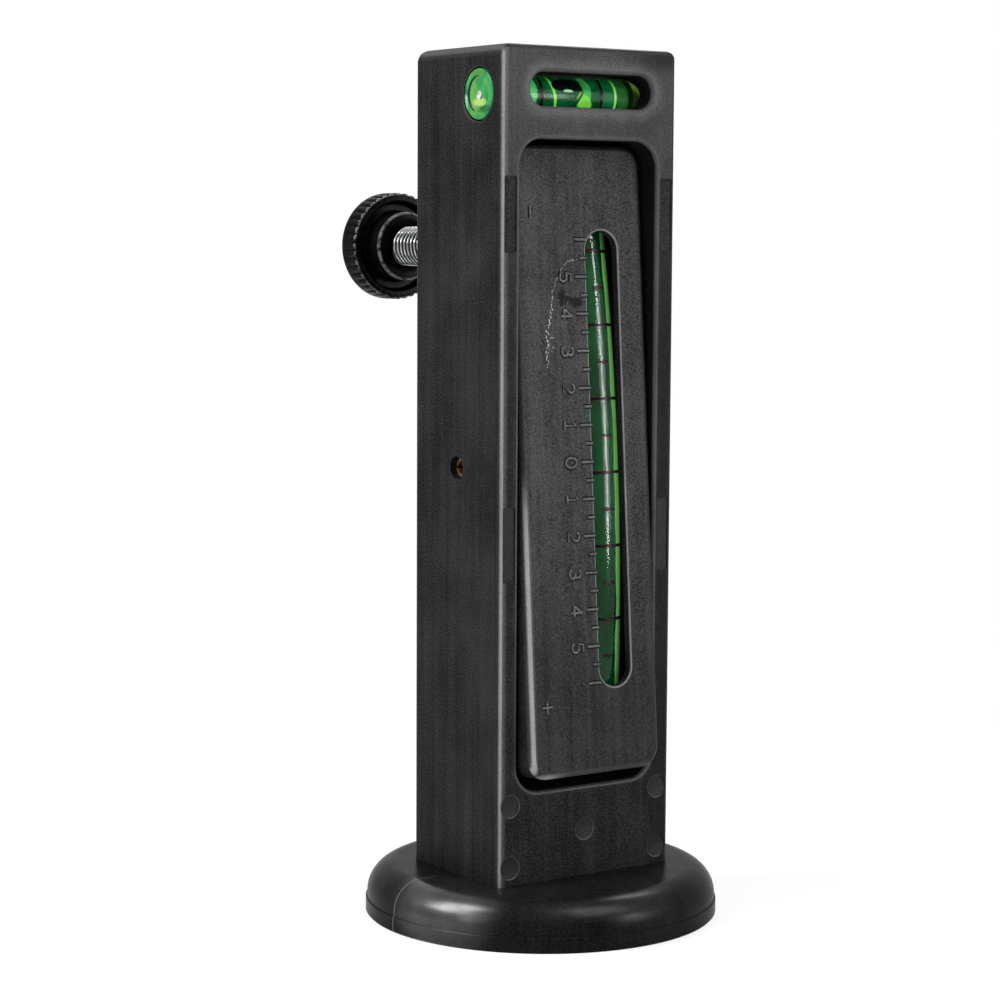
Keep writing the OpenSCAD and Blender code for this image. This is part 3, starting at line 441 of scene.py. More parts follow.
def spirit_finish(name, dark, light, glow, scale=0.12, gloss=0.1, spots=(), crescent=None, soft=0.4):
    """Dyed spirit with a painted glow by emission, standing in for light reaching it through its glass; spots are
    (centre, radius, colour), painted highlights, refractions and shade, and the crescent is a painted dark gap inside
    one (Y, Z, radius) circle and outside another."""
    s = Shade(name, Specular_IOR_Level=gloss, Emission_Strength=glow)
    cloud = s.step(s.noise(scale, stretch=(1, 1, 0.5), detail=3), 0.38, 0.66)
    colour = s.blend(cloud, dark, light)
    ragged = s.times(s.minus(s.noise(0.8, detail=3), 0.5), 0.5)
    for centre, radius, tone, *tilt in spots:
        away = s.vector("SUBTRACT", s.place, centre)
        if tilt:
            away = s.vector("ADD", away, s.add("CombineXYZ", X=s.times(s.axis("Z", away), tilt[0])))
        near = s.plus(s.vector("LENGTH", s.vector("DIVIDE", away, radius)), ragged)
        colour = s.blend(s.step(near, 1.0 + soft / 2, 1.0 - soft / 2), colour, tone)
    if crescent:
        inside = []
        for cy, cz, r in crescent:
            away = s.vector("MULTIPLY", s.vector("SUBTRACT", s.place, (0, cy, cz)), (0, 1, 1))
            inside.append(s.step(s.vector("LENGTH", away), r + 0.05, r - 0.05))
        colour = s.blend(s.times(inside[0], s.minus(1.0, inside[1])), colour, (0.0005, 0.002, 0.001))
    # painted glow: the spirit's colour is also given as emission
    s.set(Base_Color=colour, Emission_Color=colour, Roughness=s.plus(s.times(cloud, 0.1), 0.2))
    return s


def ink_finish():
    s = Shade("ink", Specular_Tint=(1.0, 0.5, 0.6, 1.0), Specular_IOR_Level=0.12)
    cloud = s.noise(4.0, detail=2)
    s.set(Base_Color=s.blend(s.step(cloud, 0.4, 0.7), (0.001, 0.001, 0.001), (0.006, 0.004, 0.004)),
          Roughness=s.plus(s.times(cloud, 0.1), 0.2))
    return s


ferrite, nylon, ink = ferrite_finish(), nylon_finish(), ink_finish()
clear_green = edge_lit("clear_green", (0.6, 0.95, 0.7), (0.42, 0.75, 0.5), (0.065, 0.21, 0.035), 0.1, gloss=0.3,
                       cuts=(0.20, 0.32, 0.42, 0.52))
clear_level = edge_lit("clear_level", (0.7, 0.97, 0.75), (0.4, 0.8, 0.5), (0.1, 0.45, 0.05), 0.05, gloss=0.2,
                       cuts=(0.4, 0.6, 0.8, 0.95), bend=1.33)
nose_green = edge_lit("nose_green", (0.09, 0.16, 0.03), (0.03, 0.09, 0.015), (0.24, 0.46, 0.05), 0.2, see_through=0.0,
                      gloss=0.5, cuts=(0.06, 0.22, 0.36, 0.55))
# painted highlight: a pale spot at the upper end of the camber vial
TIP = (((2.7, -10.5, 129.2), (1.2, 5, 2.2), (0.42, 0.80, 0.45)),)
emerald = spirit_finish("emerald", (0.0001, 0.024, 0.006), (0.0004, 0.050, 0.014), 0.25, gloss=0.02, spots=TIP)
emerald_deep = spirit_finish("emerald_deep", (0.0002, 0.018, 0.005), (0.0006, 0.045, 0.012), 0.2, gloss=0.02,
                             spots=TIP)
lime = spirit_finish("lime", (0.02, 0.20, 0.02), (0.08, 0.40, 0.04), 0.2, 0.6)
# painted light and shade: bright and dark patches of refraction on the cross level's spirit and bubble
FACETS = (((2.5, -8.5, 157.9), (1.0, 3, 2.2), (0.05, 0.36, 0.09), 0.2),
          ((2.0, -8.5, 155.2), (1.6, 3, 1.6), (0.20, 0.60, 0.06), 0.4),
          ((0.5, -8.5, 155.4), (0.35, 3, 1.6), (0.001, 0.03, 0.01), -0.8))
level_green = spirit_finish("level_green", (0.001, 0.060, 0.018), (0.003, 0.13, 0.045), 0.3, 0.4, gloss=0.05,
                            soft=0.3, spots=FACETS + (
    ((-4.9, -8.5, 156.6), (0.34, 3, 3.4), (0.26, 0.68, 0.08), 0.22),
    ((9.2, -8.5, 156.2), (0.28, 3, 4), (0.30, 0.70, 0.16)),
    ((11.0, -8.5, 156.2), (1.5, 3, 4), (0.02, 0.10, 0.02)),
    ((-9.6, -8.5, 156.4), (0.9, 3, 3.0), (0.10, 0.50, 0.16))))
# the bubble's near black is painted shade, its pale spot a painted highlight
bubble_green = spirit_finish("bubble_green", (0.0005, 0.003, 0.002), (0.001, 0.006, 0.003), 0.1, 0.6, soft=0.3,
                             spots=FACETS + (
    ((-3.7, -8.5, 156.0), (1.8, 3, 0.6), (0.005, 0.14, 0.045)),
    ((-1.7, -8.5, 156.85), (1.2, 3, 0.45), (0.60, 0.85, 0.65), 0.3)))
# painted light: patches of refracted light on the level's head
HEAD_SPOTS = (((-19.5, -6.0, 159.9), (3, 1.6, 1.0), (0.0371, 0.149, 0.0206)),
              ((-19.5, -8.6, 153.4), (3, 1.5, 0.7), (0.00247, 0.0743, 0.0165)),
              ((-19.5, -2.4, 154.5), (3, 0.6, 2.0), (0.124, 0.33, 0.186)),
              ((-19.5, -2.4, 156.8), (3, 0.6, 0.9), (0.00413, 0.0825, 0.0206)),
              ((-19.5, -5.2, 155.0), (3, 1.4, 3.2), (0.0577, 0.214, 0.0289)),
              ((-19.5, -7.0, 154.6), (3, 2.1, 0.75), (0.227, 0.351, 0.0907)))
# painted shade: the dark crescent of the gap round the plug
CRESCENT = ((LEVEL_Y, LEVEL_Z, 3.47), (LEVEL_Y - 0.8, LEVEL_Z - 0.12, 3.6))
# painted highlight and painted shade in the plug's dimple
DIMPLE_SPOTS = (((-19.4, -6.4, 156.0), (3, 0.62, 0.75), (0.371, 0.392, 0.351)),
                ((-19.4, -7.3, 155.75), (3, 0.4, 0.65), (0.000412, 0.00413, 0.00165)))
head_green = spirit_finish("head_green", (0.00825, 0.14, 0.0289), (0.0206, 0.198, 0.0454), 0.1, 0.45, 0.2,
                           HEAD_SPOTS, CRESCENT, 0.6)
plug_green = spirit_finish("plug_green", (0.00825, 0.14, 0.0289), (0.0206, 0.198, 0.0454), 0.1, 0.45, 0.2,
                           HEAD_SPOTS + DIMPLE_SPOTS, CRESCENT, 0.6)
# painted shade: near black on the walls of the plug's hole in the level's head
gap_black = spirit_finish("gap_black", (0.001, 0.002, 0.001), (0.002, 0.008, 0.003), 0.0)


# ---------------------------------------------------------------- meshes
def rounded(points, steps=5):
    """A line through (a, b[, radius]) points, with an arc of that radius at each corner."""
    out = []
    for i, point in enumerate(points):
        here = Vector(point[:2])
        if len(point) < 3 or i in (0, len(points) - 1):
            out.append(tuple(here))
            continue
        back, on = Vector(points[i - 1][:2]) - here, Vector(points[i + 1][:2]) - here
        half = back.angle(on) / 2
        reach = min(point[2] / math.tan(half), 0.499 * back.length, 0.499 * on.length)
        start, end = here + back.normalized() * reach, here + on.normalized() * reach
        for k in range(steps + 1):
            t = k / steps
            # a conic through both ends, with the corner's weight, is an exact arc
            w = math.sin(half)
            a, b, c = (1 - t) ** 2, 2 * w * t * (1 - t), t ** 2
            out.append(tuple((start * a + here * b + end * c) / (a + b + c)))
    return out


def rounded_rect(w, h, r, steps=10, at=(0, 0)):
    loop = []
    for sx, sy, turn in ((1, 1, 0), (-1, 1, 90), (-1, -1, 180), (1, -1, 270)):
        for k in range(steps + 1):
            a = math.radians(turn + 90 * k / steps)
            loop.append((at[0] + sx * (w / 2 - r) + r * math.cos(a), at[1] + sy * (h / 2 - r) + r * math.sin(a)))
    return loop


def tidy(mesh):
    bm = bmesh.new()
    bm.from_mesh(mesh)
    bmesh.ops.remove_doubles(bm, verts=bm.verts, dist=1e-5)
    bmesh.ops.dissolve_degenerate(bm, edges=bm.edges, dist=1e-6)
    bmesh.ops.recalc_face_normals(bm, faces=bm.faces)
    bm.to_mesh(mesh)
    bm.free()


def linked(name, data):
    """A new object in the scene."""
    obj = bpy.data.objects.new(name, data)
    bpy.context.scene.collection.objects.link(obj)
    return obj


def drop(obj):
    mesh = obj.data
    bpy.data.objects.remove(obj)
    bpy.data.meshes.remove(mesh)


def add_places(mesh):
    for _ in range(KINDS):
        mesh.materials.append(None)


def solid(name, verts, faces, kinds=None):
    mesh = bpy.data.meshes.new(name)
    mesh.from_pydata([tuple(v) for v in verts], [], faces)
    add_places(mesh)
    if kinds:
        mesh.polygons.foreach_set("material_index", kinds)
    tidy(mesh)
    return linked(name, mesh)


def loft(name, loops, kinds=None, caps=True):
    """A closed skin through loops of equal length; kinds gives the material of each band."""
    n = len(loops[0])
    verts = [v for loop in loops for v in loop]
    faces, index = [], []
    for i in range(len(loops) - 1):
        for j in range(n):
            k = (j + 1) % n
            faces.append((i * n + j, i * n + k, (i + 1) * n + k, (i + 1) * n + j))
            index.append(kinds[i] if kinds else 0)
    if caps:
        faces += [tuple(range(n))[::-1], tuple(range((len(loops) - 1) * n, len(loops) * n))]
        index += [kinds[0] if kinds else 0, kinds[-1] if kinds else 0]
    return solid(name, verts, faces, index)


def turned(name, profile, axis, centre=(0, 0, 0), steps=96, kinds=None):
    """A profile of (radius, distance) turned about an axis through centre."""
    loops = []
    for r, d in profile:
        loop = []
        for k in range(steps):
            a = 2 * math.pi * k / steps
            c, s = max(r, 0) * math.cos(a), max(r, 0) * math.sin(a)
            place = {"x": (d, c, s), "y": (c, d, s), "z": (c, s, d)}[axis]
            loop.append(tuple(p + q for p, q in zip(place, centre)))
        loops.append(loop)
    return loft(name, loops, kinds, caps=False)


def flare(deep, face, r, out=-1.0, steps=6):
    """(grow, distance, kind) bands of a cutter that leaves a rounded rim of radius r at a face."""
    sign = 1 if out > 0 else -1
    bands = [(0.0, deep, 0), (0.0, face - sign * r, 1)]
    for k in range(1, steps + 1):
        a = math.radians(84 * k / steps)
        bands.append((r * (1 - math.cos(a)), face - sign * r * (1 - math.sin(a)), 1))
    bands.append((r * 0.93, face + sign * r * 0.25, 1))
    bands.append((r * 0.93, face + out, 1))
    return bands


def cutter(name, shape, bands, flat=0, rim=1):
    """shape(grow, distance) gives a loop; bands as flare gives them."""
    loops = [shape(grow, d) for grow, d, _ in bands]
    return loft(name, loops, [rim if kind else flat for _, _, kind in bands[:-1]])


def bake(obj):
    deps = bpy.context.evaluated_depsgraph_get()
    deps.update()
    mesh = bpy.data.meshes.new_from_object(obj.evaluated_get(deps), preserve_all_data_layers=True, depsgraph=deps)
    obj.modifiers.clear()
    old, obj.data = obj.data, mesh
    bpy.data.meshes.remove(old)
    return obj


def boolean(obj, other, operation="DIFFERENCE"):
    mod = obj.modifiers.new("cut", "BOOLEAN")
    mod.operation, mod.solver, mod.object = operation, "EXACT", other
    mod.material_mode = "INDEX"
    bake(obj)
    drop(other)
    return obj


def joined(name, parts):
    """Several meshes as one object, faces and their materials kept."""
    bm = bmesh.new()
    for part in parts:
        bm.from_mesh(part.data)
        drop(part)
    mesh = bpy.data.meshes.new(name)
    bm.to_mesh(mesh)
    bm.free()
    add_places(mesh)
    return linked(name, mesh)


def dress(obj, body, nodes, shades, sharp=32, place=None, weight=True):
    """Scales a finished mesh to metres, shades it, hangs it on its body and hides the CAD nodes it stands in for."""
    mesh = obj.data
    if place:
        mesh.transform(place)
    mesh.transform(Matrix.Scale(MM, 4))
    kinds = [poly.material_index for poly in mesh.polygons]
    mesh.materials.clear()
    for shade in shades:
        mesh.materials.append(shade.mat)
    mesh.polygons.foreach_set("material_index", kinds)
    mesh.polygons.foreach_set("use_smooth", [True] * len(mesh.polygons))
    mesh.set_sharp_from_angle(angle=math.radians(sharp))
    mesh.update()
    if weight:
        mod = obj.modifiers.new("normals", "WEIGHTED_NORMAL")
        mod.mode, mod.weight, mod.keep_sharp = "FACE_AREA", 50, True
        bake(obj)
    obj.name = obj.data.name = obj.name.split(".")[0]
    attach(obj, body)
    if nodes:
        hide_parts(*nodes)
    return obj


def restyle(node, shade):
    """A CAD node that stays gets a better material."""
    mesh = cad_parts[node].data
    if not mesh.materials:
        mesh.materials.append(shade.mat)
    for i in range(len(mesh.materials)):
        mesh.materials[i] = shade.mat


# ---------------------------------------------------------------- housing
def make_housing():
    """Column and foot in one moulding: 0 skin, 1 edge with rubbing and painted highlight, 2 eroded panel, 3 cavity in
    painted shade, 4 foot, 5 flush mark.
    """
    bm = bmesh.new()
    bmesh.ops.create_cube(bm, size=1)
    for v in bm.verts:
        v.co = Vector((v.co.x * COLUMN_W, v.co.y * COLUMN_D, COLUMN_TOP if v.co.z > 0 else 5.0))
    weight = bm.edges.layers.float.new("bevel_weight_edge")
    for edge in bm.edges:
        a, b = (v.co for v in edge.verts)
        if a.z > 100 and b.z > 100:
            edge[weight] = 0.4 if a.y < 0 and b.y < 0 else 1.0
        elif abs(a.z - b.z) > 1:
            edge[weight] = 0.4
    mesh = bpy.data.meshes.new("column")
    bm.to_mesh(mesh)
    bm.free()
    body = linked("housing_shell", mesh)
    mod = body.modifiers.new("edges", "BEVEL")
    mod.width, mod.segments, mod.limit_method, mod.material = 2.0, 6, "WEIGHT", 1
    add_places(mesh)
    bake(body)
    arc = [(FOOT_R - FOOT_STEP - FOOT_ROUND * (1 - math.cos(a)), FOOT_H - FOOT_ROUND * (1 - math.sin(a)))
           for a in (math.radians(90 * k / 14) for k in range(15))]
    rim = [(0, 0), (FOOT_R - 0.4, 0), (FOOT_R, 0.4), (FOOT_R, FOOT_BAND - 0.12), (FOOT_R - 0.12, FOOT_BAND),
           (FOOT_R - FOOT_STEP, FOOT_BAND + 0.05)] + arc + [(0, FOOT_H)]
    boolean(body, turned("foot", rim, "z", steps=192, kinds=[4] * (len(rim) - 1)), "UNION")
    boss = rounded([(0, BACK - 1), (8, BACK - 1), (8, 20.25, 0.5), (0, 20.25)])
    boolean(body, turned("boss", boss, "y", (0, 0, SCREW_Z)), "UNION")

    middle = (OPENING_TOP + OPENING_BOTTOM) / 2
    boolean(body, cutter("opening", lambda grow, d: [(x, d, z) for x, z in rounded_rect(
        CAVITY_W + 2 * grow, OPENING_TOP - OPENING_BOTTOM + 2 * grow, OPENING_R + grow, at=(0, middle))],
        flare(CAVITY_BACK, FRONT, 0.7), flat=3))
    peg = rounded([(0, CAVITY_BACK - 1.5), (2.5, CAVITY_BACK - 1.5, 0.4), (2.5, CAVITY_BACK + 1), (0, CAVITY_BACK + 1)])
    boolean(body, turned("peg", peg, "y", (0, 0, SPRING_Z), 48, [3] * (len(peg) - 1)), "UNION")
    hole = [(0, LEVEL_RIGHT + 0.02), (LEVEL_R + 0.05, LEVEL_RIGHT + 0.02), (LEVEL_R + 0.05, -16.78), (5, -16.78)]
    hole += [(5 + grow, d) for grow, d, _ in flare(-16.78, -COLUMN_W / 2, 0.3)[1:]] + [(0, -COLUMN_W / 2 - 1)]
    boolean(body, turned("level_hole", hole, "x", (0, LEVEL_Y, LEVEL_Z), 96, [3, 3, 3, 3] + [1] * (len(hole) - 5)))
    boolean(body, cutter("window", lambda grow, d: [(x, d, z) for x, z in rounded_rect(
        27.8 + 2 * grow, 6.3 + 2 * grow, 3.13 + grow, 14, (WINDOW_X, WINDOW_Z))], flare(LEVEL_Y, FRONT, 0.8), flat=3))
    bore = [(0, COLUMN_W / 2 + 1), (2.3, COLUMN_W / 2 + 1), (2.15, COLUMN_W / 2 - 0.1), (2.15, 18.8), (2.02, 18.8),
            (2.02, -18.8), (2.15, -18.8), (2.15, -COLUMN_W / 2 + 0.1), (2.3, -COLUMN_W / 2 - 1), (0, -COLUMN_W / 2 - 1)]
    boolean(body, turned("pin_bore", bore, "x", (0, 0, PIVOT_Z), 64, [1, 1, 3, 3, 3, 3, 3, 1, 1]))
    marks = []
    for x, z in ((-17.2, 24.6), (17.2, 24.6), (-17.2, 12.9), (17.2, 12.9), (0, 18.4)):
        profile = [(0, FRONT + 0.25), (1.9, FRONT + 0.25), (2.06, FRONT + 0.19), (2.12, FRONT + 0.1),
                   (2.24, FRONT + 0.02), (2.42, FRONT - 0.02), (2.42, FRONT - 1), (0, FRONT - 1)]
        marks.append(turned("mark", profile, "y", (x, 0, z), 48, [5, 5, 1, 1, 0, 0, 0]))
    for x in (-17.85, 17.85):
        for z in (134.2, 73.6):
            marks.append(cutter("panel", lambda grow, d, x=x, z=z: [(px, d, pz) for px, pz in rounded_rect(
                2.6 + 2 * grow, 13.8 + 2 * grow, 0.3 + grow, 4, (x, z))],
                [(0.0, FRONT + 0.25, 0), (0.02, FRONT + 0.06, 0), (0.1, FRONT - 0.02, 1), (0.1, FRONT - 1, 1)], flat=2 if z > PIVOT_Z else 5))
    for x, y, z, long, deep in nicks():
        marks.append(turned("nick", [(0, -long), (deep * 0.7, -long * 0.6), (deep, 0), (deep * 0.6, long * 0.7), (0, long)],
                            "x" if y < 0 and z > 150 else "z", (x, y, z), 12, [1] * 4))
    boolean(body, joined("marks", marks))
    boolean(body, turned("insert_bore", [(0, CAVITY_BACK - 1), (5.5, CAVITY_BACK - 1), (5.5, 19.95), (5.8, 20.35),
                                         (5.8, 21), (0, 21)], "y", (0, 0, SCREW_Z), 96, [3, 3, 3, 1, 1]))
    boolean(body, turned("cup_bore", [(0, 20.02), (2.52, 20.02), (2.52, 8.02), (28.02, 8.02), (28.02, 0.3),
                                      (28.4, -0.1), (28.4, -1), (0, -1)], "z", steps=128, kinds=[3, 3, 3, 3, 4, 4, 4]))
    return dress(body, "base", ["housing"],
                 [housing_skin, housing_edge, housing_pit, cavity_skin, foot_skin, mark_skin])


def nicks():
    """Small dents: one under the window, a few along the top front edge and down the back left edge."""
    spots = [(-5.4, FRONT, 153.72, 1.35, 0.3)]
    spots += [(chance.uniform(-18, 19), FRONT + 0.05, COLUMN_TOP - 0.05, chance.uniform(0.3, 0.9),
               chance.uniform(0.25, 0.42))
              for _ in range(9)]
    spots += [(-COLUMN_W / 2, BACK - 0.1, z, 0.7, 0.4) for z in (158.5, 151.0, 139.5, 118.0, 64.0)]
    spots += [(COLUMN_W / 2 + 0.1, FRONT + 0.1, z, chance.uniform(0.4, 1.2), 0.36)
              for z in (147.0, 126.0, 101.5, 88.0, 61.0)]
    return spots + [(-COLUMN_W / 2 + 0.05, FRONT + 0.05, 152.2, 0.5, 0.45)]


# ---------------------------------------------------------------- scale plate
STROKES = {
    "0": [[("arc", 0, 0, 1.0, 1.35, 0, 360)]],
    "1": [[(-0.62, 0.85), (0.0, 1.35), (0.0, -1.35)], [(-0.85, -1.35), (0.85, -1.35)]],
    "2": [[("arc", 0, 0.55, 0.9, 0.8, 170, -35), (-0.95, -1.35), (1.0, -1.35)]],
    "3": [[("arc", 0, 0.68, 0.85, 0.67, 160, -90)], [("arc", 0, -0.68, 0.95, 0.67, 90, -160)]],
    "4": [[(0.45, -1.35), (0.45, 1.35)], [(0.45, 1.35), (-1.0, -0.55)], [(-1.0, -0.55), (1.05, -0.55)]],
    "5": [[(0.85, 1.35), (-0.6, 1.35), (-0.75, 0.2), ("arc", 0, -0.5, 0.95, 0.85, 125, -150)]],
    "-": [[(-1.1, 0), (1.1, 0)]],
    "+": [[(-1.1, 0), (1.1, 0)], [(0, -1.1), (0, 1.1)]],
}


def stroke_points(stroke):
    points = []
    for step in stroke:
        if step[0] == "arc":
            _, cx, cy, rx, ry, start, end = step
            n = max(6, int(abs(end - start) / 15))
            for k in range(n + 1):
                a = math.radians(start + (end - start) * k / n)
                points.append((cx + rx * math.cos(a), cy + ry * math.sin(a)))
        else:
            points.append(step)
    return points


def beads(name, lines, radius, height, front, kind):
    """Raised rounded strokes on a face at y = front, from lines of (x, z) points."""
    curve = bpy.data.curves.new(name, "CURVE")
    curve.dimensions = "3D"
    curve.bevel_depth, curve.bevel_resolution, curve.use_fill_caps = radius, 3, True
    for line in lines:
        closed = len(line) > 3 and math.dist(line[0], line[-1]) < 1e-6
        line = line[:-1] if closed else line
        spline = curve.splines.new("POLY")
        spline.points.add(len(line) - 1)
        for point, (x, z) in zip(spline.points, line):
            point.co = (x, 0, z, 1)
        spline.use_cyclic_u = closed
    obj = linked(name, curve)
    deps = bpy.context.evaluated_depsgraph_get()
    deps.update()
    mesh = bpy.data.meshes.new_from_object(obj.evaluated_get(deps))
    bpy.data.objects.remove(obj)
    bpy.data.curves.remove(curve)
    for v in mesh.vertices:
        v.co.y = front + v.co.y / radius * height
    for poly in mesh.polygons:
        poly.material_index = kind
    return linked(name, mesh)


def make_plate():
    """Scale plate in the cradle's frame: 0 skin, 1 edge with rubbing and painted highlight, 2 inside, 3 raised marks
    with a painted highlight, 4 painted shade outline, 5 scuffs, 6 hairlines.
    """
    mid, height = (CRADLE_TOP + CRADLE_LOW) / 2, CRADLE_TOP - CRADLE_LOW
    edge = 1.15

    def outline(grow, y):
        return [(x, y, z) for x, z in rounded_rect(CRADLE_W + 2 * grow, height + 2 * grow, CRADLE_R + grow, at=(0, mid))]
    loops, kinds = [outline(0, SEAM), outline(0, PLATE_FRONT + edge)], [0]
    for k in range(1, 7):
        a = math.radians(15 * k)
        loops.append(outline(-edge * (1 - math.cos(a)), PLATE_FRONT + edge * (1 - math.sin(a))))
        kinds.append(1)
    plate = loft("scale_face", loops, kinds)
    plate.data.polygons[-1].material_index = 0
    for poly in plate.data.polygons:
        if len(poly.vertices) > 4:
            poly.material_index = 0
    inside = [(x, z) for x, z in rounded_rect(CRADLE_W - 2 * WALL, height - 2 * WALL, CRADLE_R - WALL, at=(0, mid))]
    boolean(plate, loft("hollow", [[(x, y, z) for x, z in inside] for y in (PLATE_FRONT + PLATE_T, SEAM + 1)], [2]))
    corners = [(x, z) for x in (-10.85, 10.85) for z in (CRADLE_TOP - 4.2, CRADLE_LOW + 4.2)]
    boss = [(0, PLATE_FRONT + 0.8), (2.7, PLATE_FRONT + 0.8), (2.7, SEAM), (0, SEAM)]
    bore = [(0, -10.62), (1.12, -10.62), (1.12, 1), (0, 1)]
    for name, profile, steps, operation in (("boss", boss, 48, "UNION"), ("bore", bore, 32, "DIFFERENCE")):
        parts = [turned(name, profile, "y", (x, 0, z), steps, [2, 2, 2]) for x, z in corners]
        boolean(plate, joined(name, parts), operation)
    boolean(plate, cutter("slot", lambda grow, d: [(x, d, z) for x, z in rounded_rect(
        SLOT_W + 2 * grow, SLOT_LEN + 2 * grow, SLOT_W / 2 - 0.02 + grow, 14, (SLOT_X, SLOT_Z))],
        flare(PLATE_FRONT + PLATE_T + 1, PLATE_FRONT, 0.4), flat=0))
    right = SLOT_X - SLOT_W / 2
    bars = []
    for half in range(-12, 13):
        length = 3.0 if half % 2 == 0 else 1.85
        z = ZERO_Z + half * DEGREE / 2
        bars.append([(right - length + 0.2, z), (right - 0.06, z)])
    # tick_edges and digit_edges are thin wide beads that carry the painted shade outline
    raised = [beads("tick_edges", bars, 0.50, 0.02, PLATE_FRONT, 4), beads("ticks", bars, 0.25, 0.29, PLATE_FRONT, 3)]
    signs = []
    for n in range(-5, 6):
        signs.append((str(abs(n)), -3.55, ZERO_Z + n * DEGREE, 0.92))
    signs += [("-", -11.0, 46.8, 1.05), ("+", -11.0, -45.0, 1.05)]
    lines = []
    for sign, x, z, size in signs:
        for stroke in STROKES[sign]:
            lines.append([(x + size * b, z - size * a) for a, b in stroke_points(stroke)])
    raised += [beads("digit_edges", lines, 0.50, 0.025, PLATE_FRONT, 4), beads("digits", lines, 0.25, 0.24, PLATE_FRONT, 3)]
    raised += [beads("scuffs", scuffs(), 0.1, 0.012, PLATE_FRONT, 5), beads("combs", combs(), 0.045, 0.004, PLATE_FRONT, 6)]
    whole = joined("scale_face", [plate] + raised)
    return dress(whole, "cradle", ["scale_plate"],
                 [plate_skin, plate_edge, carrier_skin, raised_skin, outline_skin, scuff_skin, hair_skin], place=CRADLE)


def scuffs():
    """A dotted arc of short pale scratches beside the upper digits, doubled where it is worst."""
    path = [(-0.62, 38.15), (-2.6, 37.9), (-3.9, 36.85), (-5.85, 34.08), (-6.96, 29.46),
            (-7.84, 24.85), (-8.22, 21.34), (-8.13, 18.0)]
    lines = []
    for (ax, az), (bx, bz) in zip(path, path[1:]):
        worst = az < 33
        count = max(2, int(math.hypot(bx - ax, bz - az) / (0.34 if worst else 0.42)))
        for k in range(count):
            t = (k + chance.random() * 0.6) / count
            x = ax + (bx - ax) * t + chance.gauss(0, 0.2 if worst else 0.12)
            z = az + (bz - az) * t
            lines.append([(x, z), (x + chance.gauss(0, 0.1), z - 0.08 - 0.3 * chance.random())])
    for _ in range(9):
        x, z = chance.gauss(-7.3, 0.5), chance.gauss(22.6, 1.3)
        lines.append([(x, z), (x + 0.1, z - 0.15)])
    return lines


def combs():
    """Two patches of fine slanting hairlines."""
    lines = []
    for x0, z0, count in ((-10.0, 27.4, 26), (-8.9, 24.0, 16), (-5.2, 26.0, 8), (-3.3, 27.4, 22)):
        for k in range(count):
            x, z, run = x0 + 0.03 * k + chance.gauss(0, 0.2), z0 - 0.33 * k, chance.uniform(0.45, 1.15)
            lines.append([(x, z), (x + run, z - 1.5 * run)])
    return lines


# ---------------------------------------------------------------- vials
def vial_point(length, out, around):
    """A point at a length along the bent vial, out from its axis, turned from the front towards +X."""
    bend = length / BEND_R
    r = BEND_R + out * math.cos(around)
    return (SLOT_X + out * math.sin(around), VIAL_Y + BEND_R - r * math.cos(bend), r * math.sin(bend))


def bent_rod(name, stations, kinds=None, steps=64):
    """A rod along the bent vial through (length, radius) stations."""
    loops = [[vial_point(d, r, 2 * math.pi * k / steps) for k in range(steps)] for d, r in stations]
    return loft(name, loops, kinds, caps=False)


def spans(start, end, count):
    return [start + (end - start) * k / count for k in range(count + 1)]


def make_camber_vial():
    """Curved vial: the clear tube is one solid rod, and the spirit, air space and plugs lie inside it."""
    half, n = VIAL_HALF, 40
    outer = [(-half, VIAL_R - 0.5), (-half + 0.14, VIAL_R - 0.15), (-half + 0.5, VIAL_R)]
    stations = outer + [(d, VIAL_R) for d in spans(-half + 2, half - 2, n)] + [(-d, r) for d, r in outer[::-1]]
    tube = bent_rod("camber_vial_glass", [(-half, 0)] + stations + [(half, 0)])
    dress(tube, "cradle", ["camber_vial_tube"], [clear_green], place=CRADLE, weight=False)
    r = VIAL_BORE - 0.02
    top = half - 3 - 8
    fluid = bent_rod("camber_vial_spirit", [(-half + 3.02, 0)] + [(-half + 3.02, r)] + [(d, r) for d in spans(
        -half + 3.1, top - 0.1, n)] + [(top, r), (top, 0)])
    dress(fluid, "cradle", ["camber_vial_fluid"], [emerald], place=CRADLE, weight=False)
    gas = bent_rod("camber_vial_bubble", [(top + 0.02, 0), (top + 0.02, r)] + [(d, r) for d in spans(
        top + 0.1, half - 3.1, 8)] + [(half - 3.02, r), (half - 3.02, 0)])
    dress(gas, "cradle", ["camber_vial_air"], [emerald_deep], place=CRADLE, weight=False)
    plugs = [bent_rod("plug", [(s, 0), (s, r), (e, r), (e, 0)]) for s, e in ((-half, -half + 3), (half - 3, half))]
    dress(joined("camber_vial_stops", plugs), "cradle", ["camber_vial_plugs"], [lime], place=CRADLE,
          weight=False)


